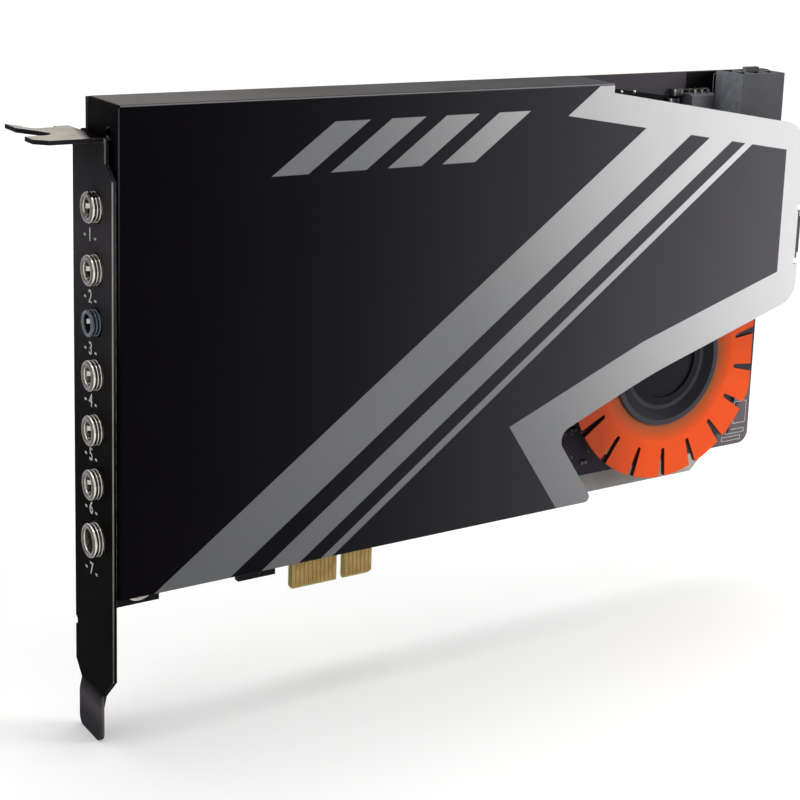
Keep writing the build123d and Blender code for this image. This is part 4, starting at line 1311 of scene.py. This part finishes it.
@dataclass
class SlotBracket:
    """The painted bracket with plain numerals under its jacks."""

    numeral_drop: float = 5.9
    last_drop: float = 7.2
    collar_proud: float = 2.1
    height_share: float = 0.7
    numeral_side: float = 3.0
    numeral_height: float = 2.5
    numeral_weight: float = 0.05
    ink_thick: float = 0.03

    def build(self) -> None:
        """Dress the bracket and print its numerals."""
        dress("bracket", Finishes.BRACKET)
        piece = Workpiece("jack_numerals")
        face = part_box("jack_collar_1")[0].x / MM + self.collar_proud
        for number in range(1, JACKS + 1):
            low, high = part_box(f"jack_collar_{number}")
            middle = (low + high) / (2 * MM)
            drop = self.last_drop if number == JACKS else self.numeral_drop
            place = Vector((face, middle.y + self.numeral_side, middle.z - drop))
            self.print(piece, f"- {number} -", place)
        piece.done(Finishes.LEGEND, "bracket_paint")

    def print(self, piece: Workpiece, text: str, place: Vector) -> None:
        """Print one numeral on the outer face.

        Args:
            piece: mesh that takes it.
            text: the numeral.
            place: its middle.
        """
        curve = bpy.data.curves.new("numeral", "FONT")
        curve.body = text
        curve.size = self.numeral_height / self.height_share
        curve.align_x = "CENTER"
        curve.align_y = "CENTER"
        curve.extrude = self.ink_thick / 2
        curve.offset = self.numeral_weight
        holder = bpy.data.objects.new("numeral", curve)
        bpy.context.scene.collection.objects.link(holder)
        bpy.context.view_layer.update()
        flat = bpy.data.meshes.new_from_object(holder.evaluated_get(bpy.context.evaluated_depsgraph_get()))
        turn = Matrix(((0, 0, -1), (-1, 0, 0), (0, 1, 0))).to_4x4()
        flat.transform(Matrix.Translation(place) @ turn)
        piece.mesh.from_mesh(flat)
        bpy.data.objects.remove(holder)
        bpy.data.curves.remove(curve)
        bpy.data.meshes.remove(flat)


@dataclass
class JackRow:
    """Seven jacks: moulded bodies, collars turned with round lips, and the contact springs inside."""

    slim: int = 3
    wide: int = 7
    mouth: float = 1.8
    wide_mouth: float = 2.3
    sides: int = 72
    spring_width: float = 0.9
    spring_thick: float = 0.15
    deep: tuple[Flat, ...] = ((0.0, 1.7), (2.2, 1.55), (4.4, 0.9), (5.6, 0.9), (7.4, 1.6), (9.8, 1.7))
    deep_start: float = 1.0
    shallow: tuple[Flat, ...] = (
        (0.0, 1.66), (0.3, 1.5), (0.6, 1.3), (0.9, 1.22), (1.2, 1.3), (1.6, 1.5), (2.1, 1.66))
    shallow_start: float = -2.3
    arc_steps: int = 6
    arcs: tuple[tuple[Flat, Flat, bool], ...] = (
        ((0.0, 1.25), (0.24, 1.52), False),
        ((0.24, 1.58), (0.06, 1.82), True),
        ((0.06, 1.88), (0.26, 2.14), False),
        ((0.26, 2.2), (0.0, 2.46), True),
        ((0.0, 2.55), (0.48, 3.15), False),
        ((0.5, 3.15), (1.0, 2.7), True),
    )

    def build(self) -> None:
        """Dress the bodies, turn the collars and add the springs."""
        springs = Workpiece("jack_springs")
        for number in range(1, JACKS + 1):
            dress(f"jack_body_{number}", Finishes.JACK)
            self.collar(number)
            self.spring(springs, number, self.deep, self.deep_start, -1)
            if number != self.wide:
                self.spring(springs, number, self.shallow, self.shallow_start, 1)
        springs.done(Finishes.TIN, "tin")

    def collar(self, number: int) -> None:
        """Turn one collar: a round shoulder, two grooved rings and a rolled mouth.

        Args:
            number: number of the jack.
        """
        node = f"jack_collar_{number}"
        low, high = [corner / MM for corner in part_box(node)]
        middle = (low + high) / 2
        outer = (high.z - low.z) / 2
        wall = outer - (self.wide_mouth if number == self.wide else self.mouth)
        profile = tuple((outer - share * wall, along) for share, along in self.section())
        piece = Workpiece(f"turned_collar_{number}")
        piece.turned(profile, (high.x, middle.y, middle.z), Vector((-1, 0, 0)), self.sides, closed=True)
        finish, slot = (Finishes.SLIM, "slim_collar") if number == self.slim else (Finishes.NICKEL, "nickel")
        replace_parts(piece.done(finish, slot), node)

    def section(self) -> list[Flat]:
        """Work out the collar's section from the quarter arcs of its shoulder, its two rings and its lip.

        Returns:
            Share of the wall inside the outer radius and distance from the inner end, point by point.
        """
        points = [(1.0, 0.0), (0.0, 0.0)]
        for start, end, sideways_first in self.arcs:
            for step in range(self.arc_steps + 1):
                turn = math.pi / 2 * step / self.arc_steps
                early, late = math.sin(turn), 1 - math.cos(turn)
                inward, along = (early, late) if sideways_first else (late, early)
                share = start[0] + (end[0] - start[0]) * inward
                points.append((share, start[1] + (end[1] - start[1]) * along))
        return points

    def spring(self, piece: Workpiece, number: int, bends: tuple[Flat, ...], start: float, side: int) -> None:
        """Bend one contact spring inside a jack's bore.

        Args:
            piece: mesh that takes it.
            number: number of the jack.
            bends: distance along the bore and from its axis, bend by bend.
            start: where the spring begins, from the collar's inner end.
            side: which side of the bore, by the sign of Y.
        """
        low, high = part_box(f"jack_collar_{number}")
        middle = (low + high) / (2 * MM)
        begin = high.x / MM + start
        points = [Vector((begin + along, middle.y + side * away, middle.z)) for along, away in bends]
        piece.ribbon(points, Vector((0, 0, self.spring_width / 2)), self.spring_thick)


@dataclass
class Shroud:
    """The folded printed sheet."""

    def build(self) -> None:
        """Dress the sheet."""
        dress("shroud", Finishes.SHROUD)


@dataclass
class Fasteners:
    """Screws, standoffs and the bare pads under the screw heads."""

    pad_radius: float = 3.3
    hole_radius: float = 1.6
    pad_thick: float = 0.03
    sides: int = 32

    def build(self) -> None:
        """Dress the fasteners and lay the pads."""
        dress("bracket_screws", Finishes.STEEL)
        dress("shroud_screws", Finishes.SCREW)
        dress("shroud_standoffs", Finishes.STEEL)
        pads = Workpiece("ground_pads")
        board_low, board_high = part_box("board")
        for node in ("bracket_screws", "shroud_screws"):
            for low, high in solids_of(node):
                middle = (low + high) / 2
                for face, level in ((Face.FRONT, board_low.y / MM), (Face.BACK, board_high.y / MM)):
                    axis = Vector((0, face.value, 0))
                    profile = ((self.hole_radius, 0.0), (self.hole_radius, self.pad_thick),
                               (self.pad_radius, self.pad_thick), (self.pad_radius, 0.0))
                    pads.turned(profile, (middle.x, level, middle.z), axis, self.sides, closed=True)
        pads.done(Finishes.TIN, "tin")


@dataclass
class LightRing:
    """The slotted ring, its hub and the diodes behind it."""

    def build(self) -> None:
        """Dress ring, hub and diodes."""
        dress("light_ring", Finishes.RING)
        dress("ring_hub", Finishes.HUB)
        dress("ring_leds", Finishes.LED)


@dataclass
class Connectors:
    """Power connector and front panel header."""

    def build(self) -> None:
        """Dress the housings and their pins."""
        dress("power_connector", Finishes.CONNECTOR)
        dress("power_pins", Finishes.TIN)
        dress("front_panel_header", Finishes.HEADER)
        dress("header_pins", Finishes.SOLDER)


@dataclass(frozen=True)
class Package:
    """How one kind of chip is leaded."""

    node: str
    sides: LeadSides
    count: int
    pitch: float
    width: float


@dataclass
class Chips:
    """Chip packages with their bent leads."""

    reach: float = 1.0
    thick: float = 0.14
    sunk: float = 0.1
    shoulder: float = 0.25
    knee: float = 0.42
    exit_share: float = 0.5
    packages: tuple[Package, ...] = (
        Package("audio_processor", LeadSides.ALL_ROUND, 25, 0.5, 0.22),
        Package("dac_chip", LeadSides.UP_DOWN, 14, 0.65, 0.3),
        Package("adc_chip", LeadSides.UP_DOWN, 14, 0.65, 0.3),
        Package("headphone_amplifier", LeadSides.UP_DOWN, 9, 0.65, 0.3),
        Package("firmware_memory", LeadSides.UP_DOWN, 4, 1.27, 0.42),
        Package("op_amps", LeadSides.UP_DOWN, 4, 1.27, 0.42),
        Package("regulators", LeadSides.DOWN, 3, 2.3, 0.8),
    )

    def build(self) -> None:
        """Dress the packages and bend their leads."""
        for package in self.packages:
            dress(package.node, Finishes.CHIP)
        dress("relays", Finishes.RELAY)
        dress("oscillators", Finishes.CAN)
        dress("inductors", Finishes.FERRITE)
        leads = Workpiece("chip_leads")
        for package in self.packages:
            for low, high in solids_of(package.node):
                self.lead_out(leads, package, low, high)
        leads.done(Finishes.TIN, "tin")

    def lead_out(self, piece: Workpiece, package: Package, low: Vector, high: Vector) -> None:
        """Bend the leads of one package.

        Args:
            piece: mesh that takes them.
            package: how the package is leaded.
            low: lowest corner of the package.
            high: highest corner of the package.
        """
        middle = (low + high) / 2
        ways = {LeadSides.UP_DOWN: ((0, 1), (0, -1)), LeadSides.DOWN: ((0, -1),),
                LeadSides.ALL_ROUND: ((0, 1), (0, -1), (1, 0), (-1, 0))}[package.sides]
        tall = (high.y - low.y) * self.exit_share
        for across, up in ways:
            out = Vector((across, 0, up))
            along = Vector((up, 0, across))
            edge = (high.z - middle.z) if up else (high.x - middle.x)
            start = Vector((middle.x, high.y, middle.z)) + out * edge
            for step in range(package.count):
                foot = start + along * (package.pitch * (step - (package.count - 1) / 2))
                bends = ((-self.sunk, tall), (self.shoulder, tall), (self.knee, self.thick),
                         (self.reach, self.thick / 2))
                points = [foot + out * far + Vector((0, -lift, 0)) for far, lift in bends]
                piece.ribbon(points, along * (package.width / 2), self.thick)


@dataclass
class CanCapacitors:
    """Can capacitors with a dark mark on top."""

    mark_thick: float = 0.02
    mark_inset: float = 1.0
    mark_turn: float = 0.78
    mark_steps: int = 12

    def build(self) -> None:
        """Dress the cans and mark their minus sides."""
        marks = Workpiece("can_marks")
        for node in ("small_capacitors", "large_capacitors"):
            dress(node, Finishes.CAN)
            for low, high in solids_of(node):
                middle = (low + high) / 2
                radius = (high.x - low.x) / 2 - self.mark_inset
                corners = []
                for step in range(self.mark_steps + 1):
                    angle = math.pi * (0.5 + self.mark_turn * (step / self.mark_steps - 0.5)) + math.pi / 2
                    side = middle.x + radius * math.cos(angle)
                    corners.append(Vector((side, low.y, middle.z + radius * math.sin(angle))))
                marks.plate(corners, Vector((0, -self.mark_thick, 0)))
        marks.done(Finishes.CHIP, "chip_epoxy")


@dataclass
class CircuitBoard:
    """The board with its contacts, legend, loose small parts and solder joints."""

    seed: int = 11
    legend_wide: float = 0.16
    legend_thick: float = 0.02
    front_parts: int = 130
    back_parts: int = 46
    spacing: float = 0.5
    margin: float = 3.0
    lowest: float = 15.0
    tries: int = 12
    dark_share: float = 0.55
    part_sizes: tuple[Point, ...] = (
        (1.6, 0.8, 0.45), (2.0, 1.25, 0.6), (1.0, 0.5, 0.35), (3.2, 1.6, 0.6))
    part_edge: float = 0.06
    cap_share: float = 0.24
    cap_edge: float = 0.05
    cap_proud: float = 0.04
    cap_tall: float = 1.06
    proud: float = 0.2
    no_parts: tuple[str, ...] = ("board", "shroud", "bracket", "edge_contacts", "light_ring")
    ear_heights: Flat = (8.4, 97.6)
    ear_area: Area = (-58.0, -4.0, -43.0, 4.0)
    tongue_area: Area = (-13.0, 0.0, 9.0, 9.0)
    jack_pins: tuple[Flat, ...] = (
        (1.6, 0.0), (4.6, 2.6), (4.6, -2.6), (8.6, 2.6), (8.6, -2.6), (11.8, 0.0))
    jack_joint: float = 1.0
    power_rows: Flat = (3.2, 7.4)
    power_middle: float = -5.0
    power_joint: float = 1.35
    header_rows: Flat = (2.0, 4.0)
    header_middle: float = 1.85
    small_joint: float = 0.75
    relay_pins: tuple[float, ...] = (1.2, 3.4, 6.6, 8.8)
    relay_inset: float = 1.0
    hub_pins: int = 3
    hub_pin_circle: float = 9.0
    hub_pin_turn: float = 0.4
    hub_joint: float = 1.3
    joint_sides: int = 14
    cone: tuple[Flat, ...] = (
        (0.0, 0.0), (1.0, 0.0), (1.0, 0.04), (0.86, 0.1), (0.6, 0.42), (0.42, 0.8), (0.4, 1.05),
        (0.3, 1.15), (0.0, 1.18))
    dome: tuple[Flat, ...] = ((0.0, 0.0), (1.0, 0.0), (1.0, 0.04), (0.6, 0.22), (0.0, 0.3))
    legend_edge: float = 0.6
    socket_gap: float = 0.7
    chip_gap: float = 1.5
    back_gap: float = 0.4
    part_gap: float = 0.35
    outlined: tuple[str, ...] = (
        "audio_processor", "dac_chip", "adc_chip", "op_amps", "relays", "inductors", "oscillators")
    header_parts: tuple[tuple[Area, float], ...] = (
        ((84.4, 99.7, 87.4, 101.3), 1.1),
        ((85.2, 102.0, 87.9, 103.5), 1.4),
        ((77.0, 100.2, 78.6, 101.0), 0.5),
    )
    test_pads: tuple[Flat, ...] = ((70.8, 103.3), (74.6, 103.2))
    pad_radius: float = 0.42
    frames: tuple[Area, ...] = (
        (112.9, 18.4, 116.9, 24.0), (110.6, 15.9, 116.6, 16.9), (109.4, 14.1, 115.6, 15.1))

    def build(self) -> None:
        """Dress the board and add what is soldered and printed on it."""
        dress("board", Finishes.BOARD)
        dress("edge_contacts", Finishes.GOLD)
        self.low, self.high = [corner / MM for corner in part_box("board")]
        self.taken = self.occupied()
        self.small_parts()
        self.solder_joints()
        self.pads()
        self.legend()

    def occupied(self) -> dict[Face, list[Area]]:
        """List the areas that parts already stand on, for each face."""
        nodes = [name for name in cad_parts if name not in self.no_parts]
        taken: dict[Face, list[Area]] = {Face.FRONT: [], Face.BACK: []}
        for node in nodes:
            for low, high in solids_of(node):
                area = (low.x, low.z, high.x, high.z)
                if low.y < self.low.y - self.proud:
                    taken[Face.FRONT].append(area)
                if high.y > self.high.y + self.proud:
                    taken[Face.BACK].append(area)
        left, below, right, above = self.ear_area
        for height in self.ear_heights:
            taken[Face.BACK].append((left, height + below, right, height + above))
        for face in Face:
            taken[face].append(self.tongue_area)
        return taken

    def free(self, face: Face, area: Area) -> bool:
        """Tell whether an area of a face is empty."""
        gap = self.spacing
        return all(
            area[0] > other[2] + gap or area[2] < other[0] - gap
            or area[1] > other[3] + gap or area[3] < other[1] - gap
            for other in self.taken[face]
        )

    def small_parts(self) -> None:
        """Scatter chip resistors and capacitors over the free areas of both faces."""
        chance = random.Random(self.seed)
        bodies = Workpiece("chip_resistors")
        pale = Workpiece("chip_capacitors")
        ends = Workpiece("chip_part_ends")
        for area, tall in self.header_parts:
            self.taken[Face.FRONT].append(area)
            self.chip_part(bodies, ends, area, self.low.y, -tall)
        for face, count in ((Face.FRONT, self.front_parts), (Face.BACK, self.back_parts)):
            level = self.low.y if face is Face.FRONT else self.high.y
            placed = 0
            for _ in range(count * self.tries):
                if placed == count:
                    break
                length, width, tall = chance.choice(self.part_sizes)
                if chance.random() < 0.5:
                    half = (length / 2, width / 2)
                else:
                    half = (width / 2, length / 2)
                x = round(chance.uniform(self.low.x + self.margin, self.high.x - self.margin) * 2) / 2
                z = round(chance.uniform(self.lowest, self.high.z - self.margin) * 2) / 2
                area = (x - half[0], z - half[1], x + half[0], z + half[1])
                if not self.free(face, area):
                    continue
                self.taken[face].append(area)
                placed += 1
                body = bodies if chance.random() < self.dark_share else pale
                self.chip_part(body, ends, area, level, face.value * tall)
        bodies.done(Finishes.CHIP, "chip_epoxy")
        pale.done(Finishes.FERRITE, "ferrite")
        ends.done(Finishes.SOLDER, "tin")

    def chip_part(self, body: Workpiece, ends: Workpiece, area: Area, level: float, tall: float) -> None:
        """Set one small part with its plated ends.

        Args:
            body: mesh for the body.
            ends: mesh for the ends.
            area: its place on the board.
            level: the board's face along Y.
            tall: its height, signed outwards.
        """
        x0, z0, x1, z1 = area
        near, far = sorted((level, level + tall))
        body.block((x0, near, z0), (x1, far, z1), self.part_edge)
        cap = self.cap_share * max(x1 - x0, z1 - z0)
        grow = self.cap_proud
        near, far = sorted((level, level + tall * self.cap_tall))
        if x1 - x0 > z1 - z0:
            spans = ((x0 - grow, x0 + cap, z0 - grow, z1 + grow), (x1 - cap, x1 + grow, z0 - grow, z1 + grow))
        else:
            spans = ((x0 - grow, x1 + grow, z0 - grow, z0 + cap), (x0 - grow, x1 + grow, z1 - cap, z1 + grow))
        for left, right, bottom, top in spans:
            ends.block((left, near, bottom), (right, far, top), self.cap_edge)

    def solder_joints(self) -> None:
        """Draw solder cones with pin stubs on the back, under every part that goes through the board."""
        joints = Workpiece("back_solder")
        for number in range(1, JACKS + 1):
            low, high = [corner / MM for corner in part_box(f"jack_body_{number}")]
            middle = (low + high) / 2
            for along, up in self.jack_pins:
                self.joint(joints, low.x + along, middle.z + up, self.jack_joint)
        near_row, far_row = self.power_rows
        for low, high in solids_of("power_pins"):
            middle = (low + high) / 2
            row = near_row if middle.y < self.power_middle else far_row
            self.joint(joints, middle.x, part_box("power_connector")[0].z / MM + row, self.power_joint)
        near_row, far_row = self.header_rows
        for low, high in solids_of("header_pins"):
            middle = (low + high) / 2
            row = near_row if middle.y < self.low.y - self.header_middle else far_row
            self.joint(joints, middle.x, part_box("front_panel_header")[0].z / MM + row, self.small_joint)
        for low, high in solids_of("relays"):
            for along in self.relay_pins:
                for z in (low.z + self.relay_inset, high.z - self.relay_inset):
                    self.joint(joints, low.x + along, z, self.small_joint)
        low, high = [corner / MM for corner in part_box("ring_hub")]
        middle = (low + high) / 2
        for step in range(self.hub_pins):
            angle = 2 * math.pi * step / self.hub_pins + self.hub_pin_turn
            x = middle.x + self.hub_pin_circle * math.cos(angle)
            self.joint(joints, x, middle.z + self.hub_pin_circle * math.sin(angle), self.hub_joint)
        joints.done(Finishes.TIN, "tin")

    def joint(self, piece: Workpiece, x: float, z: float, radius: float) -> None:
        """Draw one solder cone with its pin stub.

        Args:
            piece: mesh that takes it.
            x: place along X.
            z: place along Z.
            radius: radius of the pad.
        """
        profile = tuple((radius * share, along) for share, along in self.cone)
        piece.turned(profile, (x, self.high.y, z), Vector((0, 1, 0)), self.joint_sides)

    def legend(self) -> None:
        """Print plain outlines on both faces."""
        piece = Workpiece("board_legend")
        for node in ("front_panel_header", "power_connector"):
            low, high = [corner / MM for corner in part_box(node)]
            self.outline(piece, self.footprint(low, high, self.socket_gap), Face.FRONT)
        for node in self.outlined:
            for low, high in solids_of(node):
                self.outline(piece, self.footprint(low, high, self.chip_gap), Face.FRONT)
        gap = self.back_gap
        for number in range(1, JACKS + 1):
            low, high = [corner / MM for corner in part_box(f"jack_body_{number}")]
            self.outline(piece, (low.x + gap, low.z + gap, high.x, high.z - gap), Face.BACK)
        for node in ("power_connector", "relays"):
            for low, high in solids_of(node):
                self.outline(piece, self.footprint(low, high, gap), Face.BACK)
        gap = self.part_gap
        for area in self.taken[Face.BACK][-self.back_parts:]:
            self.outline(piece, (area[0] - gap, area[1] - gap, area[2] + gap, area[3] + gap), Face.BACK)
        for area in self.frames:
            self.outline(piece, area, Face.FRONT)
        piece.done(Finishes.LEGEND, "solder_mask")

    def footprint(self, low: Vector, high: Vector, gap: float) -> Area:
        """Give a part's area on the board with a gap round it, short of the board's upper edge."""
        return low.x - gap, low.z - gap, high.x + gap, min(high.z + gap, self.high.z - self.legend_edge)

    def pads(self) -> None:
        """Set bright test pads on the front, beside the shroud's flange."""
        piece = Workpiece("test_pads")
        profile = tuple((self.pad_radius * share, along) for share, along in self.dome)
        for x, z in self.test_pads:
            piece.turned(profile, (x, self.low.y, z), Vector((0, -1, 0)))
        piece.done(Finishes.TIN, "tin")

    def outline(self, piece: Workpiece, area: Area, face: Face) -> None:
        """Print one rectangle as four bars.

        Args:
            piece: mesh that takes it.
            area: the rectangle.
            face: which face of the board.
        """
        x0, z0, x1, z1 = area
        level = self.low.y if face is Face.FRONT else self.high.y
        half = self.legend_wide / 2
        for left, right, bottom, top in ((x0, x1, z0 - half, z0 + half), (x0, x1, z1 - half, z1 + half),
                                         (x0 - half, x0 + half, z0, z1), (x1 - half, x1 + half, z0, z1)):
            corners = [Vector((left, level, bottom)), Vector((right, level, bottom)),
                       Vector((right, level, top)), Vector((left, level, top))]
            piece.plate(corners, Vector((0, face.value * self.legend_thick, 0)))


@dataclass(frozen=True)
class Softbox:
    """One area lamp."""

    name: str
    place: Point
    aim: Point
    size: float
    watts: float


@dataclass
class Studio:
    """Camera, floor, world and lamps."""

    lens: float = 78.3992
    sensor: float = 36.0
    clip: Flat = (0.01, 50.0)
    shift: Flat = (-0.07, -0.2)
    yaw: float = 55.5957
    pitch: float = 11.9605
    roll: float = 2.2422
    stand: Point = (-181.3439, -304.9166, 150.8735)
    floor_size: float = 8.0
    floor_cells: int = 8
    floor_white: str = "#f2f2f1"
    floor_rough: float = 0.9
    floor_specular: float = 0.1
    floor_lit_from: float = 0.6
    floor_least: float = 0.2
    floor_fade: Flat = (0.25, 1.0)
    ambient: float = 0.5
    front_levels: Flat = (0.2, 0.8)
    front_fade: Flat = (-0.3, 0.5)
    roof_fade: Flat = (0.35, 0.8)
    softboxes: tuple[Softbox, ...] = (
        Softbox("end_softbox", (0.62, -0.40, 0.22), (0.09, 0.0, 0.06), 0.36, 3.4),
        Softbox("top_softbox", (0.05, 0.05, 0.80), (0.02, 0.0, 0.05), 0.7, 3.6),
        Softbox("jack_softbox", (-0.62, -0.22, 0.30), (-0.06, 0.0, 0.05), 0.3, 0.45),
    )

    def build(self) -> None:
        """Set up camera, world, floor and lamps."""
        self.camera()
        self.world()
        self.floor()
        for softbox in self.softboxes:
            self.lamp(softbox)
        view = bpy.context.scene.view_settings
        view.view_transform = "Standard"

    def camera(self) -> None:
        """Put the camera where the photograph was taken from."""
        yaw, pitch, roll = [math.radians(angle) for angle in (self.yaw, self.pitch, self.roll)]
        ahead = Vector((math.cos(pitch) * math.cos(yaw), math.cos(pitch) * math.sin(yaw), -math.sin(pitch)))
        level = Vector((math.sin(yaw), -math.cos(yaw), 0.0))
        upright = level.cross(ahead)
        right = math.cos(roll) * level + math.sin(roll) * upright
        up = -math.sin(roll) * level + math.cos(roll) * upright
        data = bpy.data.cameras.new("photo_camera")
        data.lens = self.lens
        data.sensor_width = self.sensor
        data.shift_x, data.shift_y = self.shift
        data.clip_start, data.clip_end = self.clip
        camera = bpy.data.objects.new("photo_camera", data)
        turn = Matrix((right, up, -ahead)).transposed().to_4x4()
        camera.matrix_world = Matrix.Translation(Vector(self.stand) * MM) @ turn
        bpy.context.scene.collection.objects.link(camera)
        bpy.context.scene.camera = camera

    @staticmethod
    def rays(graph: Graph) -> tuple[Socket, Socket]:
        """Tell direct sight and reflections from other rays.

        Args:
            graph: tree of the world or of the floor.

        Returns:
            1 for camera and transmission rays, and 1 for glossy rays.
        """
        path = graph.add("LightPath")
        seen = graph.peak(path.outputs["Is Camera Ray"], path.outputs["Is Transmission Ray"])
        return seen, path.outputs["Is Glossy Ray"]

    def world(self) -> None:
        """Light the room softly, brighter above and behind, and show it white."""
        world = bpy.data.worlds.new("studio")
        bpy.context.scene.world = world
        world.use_nodes = True
        graph = Graph(world.node_tree)
        back = world.node_tree.nodes["Background"]
        seen, glossy = self.rays(graph)
        mirrored = graph.peak(seen, glossy)
        _, behind, above = graph.split(graph.add("TexCoord").outputs["Generated"])
        front = graph.step(glossy, 0.0, 1.0, *self.front_levels)
        depth = graph.step(behind, *self.front_fade, front, 1.0)
        room = graph.peak(depth, graph.step(above, *self.roof_fade))
        shade = graph.blend(room, BLACK, WHITE)
        graph.join(back.inputs["Color"], graph.blend(seen, shade, WHITE))
        graph.join(back.inputs["Strength"], graph.step(mirrored, 0.0, 1.0, self.ambient, 1.0))

    def floor(self) -> None:
        """Lay a plain pale floor under the bracket's foot."""
        half = self.floor_size / 2
        level = CAD_BOX[0].z
        mesh = bmesh.new()
        bmesh.ops.create_grid(mesh, x_segments=self.floor_cells, y_segments=self.floor_cells, size=half)
        bmesh.ops.translate(mesh, vec=(0, 0, level), verts=mesh.verts)
        data = bpy.data.meshes.new("floor")
        mesh.to_mesh(data)
        mesh.free()
        material = bpy.data.materials.new("pale_floor")
        material.use_nodes = True
        graph = Graph(material.node_tree)
        shader = material.node_tree.nodes["Principled BSDF"]
        shader.inputs["Roughness"].default_value = self.floor_rough
        shader.inputs["Specular IOR Level"].default_value = self.floor_specular
        mirrored = graph.peak(*self.rays(graph))
        shader.inputs["Emission Color"].default_value = WHITE
        place = graph.add("TexCoord").outputs["Object"]
        away = graph.add("VectorMath", {0: place}, operation="LENGTH").outputs["Value"]
        far = graph.step(away, *self.floor_fade)
        graph.join(shader.inputs["Base Color"], graph.blend(far, linear(self.floor_white), BLACK))
        lift = graph.step(far, 0.0, self.floor_lit_from, self.floor_least, 1.0)
        graph.join(shader.inputs["Emission Strength"], graph.product(mirrored, lift))
        data.materials.append(material)
        floor = bpy.data.objects.new("floor", data)
        bpy.context.scene.collection.objects.link(floor)
        floor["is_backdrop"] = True

    def lamp(self, softbox: Softbox) -> None:
        """Hang one area lamp.

        Args:
            softbox: its place, aim, size and power.
        """
        data = bpy.data.lights.new(softbox.name, "AREA")
        data.shape = "DISK"
        data.size = softbox.size
        data.energy = softbox.watts
        lamp = bpy.data.objects.new(softbox.name, data)
        lamp.location = softbox.place
        ray = Vector(softbox.aim) - Vector(softbox.place)
        lamp.rotation_mode = "QUATERNION"
        lamp.rotation_quaternion = ray.to_track_quat("-Z", "Y")
        bpy.context.scene.collection.objects.link(lamp)


def record_size() -> None:
    """Put the CAD box and the visual model's box side by side, without keeping them."""
    boxes = {"cad": CAD_BOX, "visual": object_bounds()}
    {name: [list(corner) for corner in box] for name, box in boxes.items()}


def main() -> None:
    """Build the card's sub-assemblies in order."""
    logging.basicConfig(level=logging.INFO, format="%(message)s")
    for assembly in (Studio(), SlotBracket(), JackRow(), Shroud(), CircuitBoard(), Fasteners(), LightRing(),
                     Connectors(), Chips(), CanCapacitors()):
        LOG.info("assembly %s", type(assembly).__name__)
        assembly.build()


if __name__ == "__main__":
    main()
    record_size()
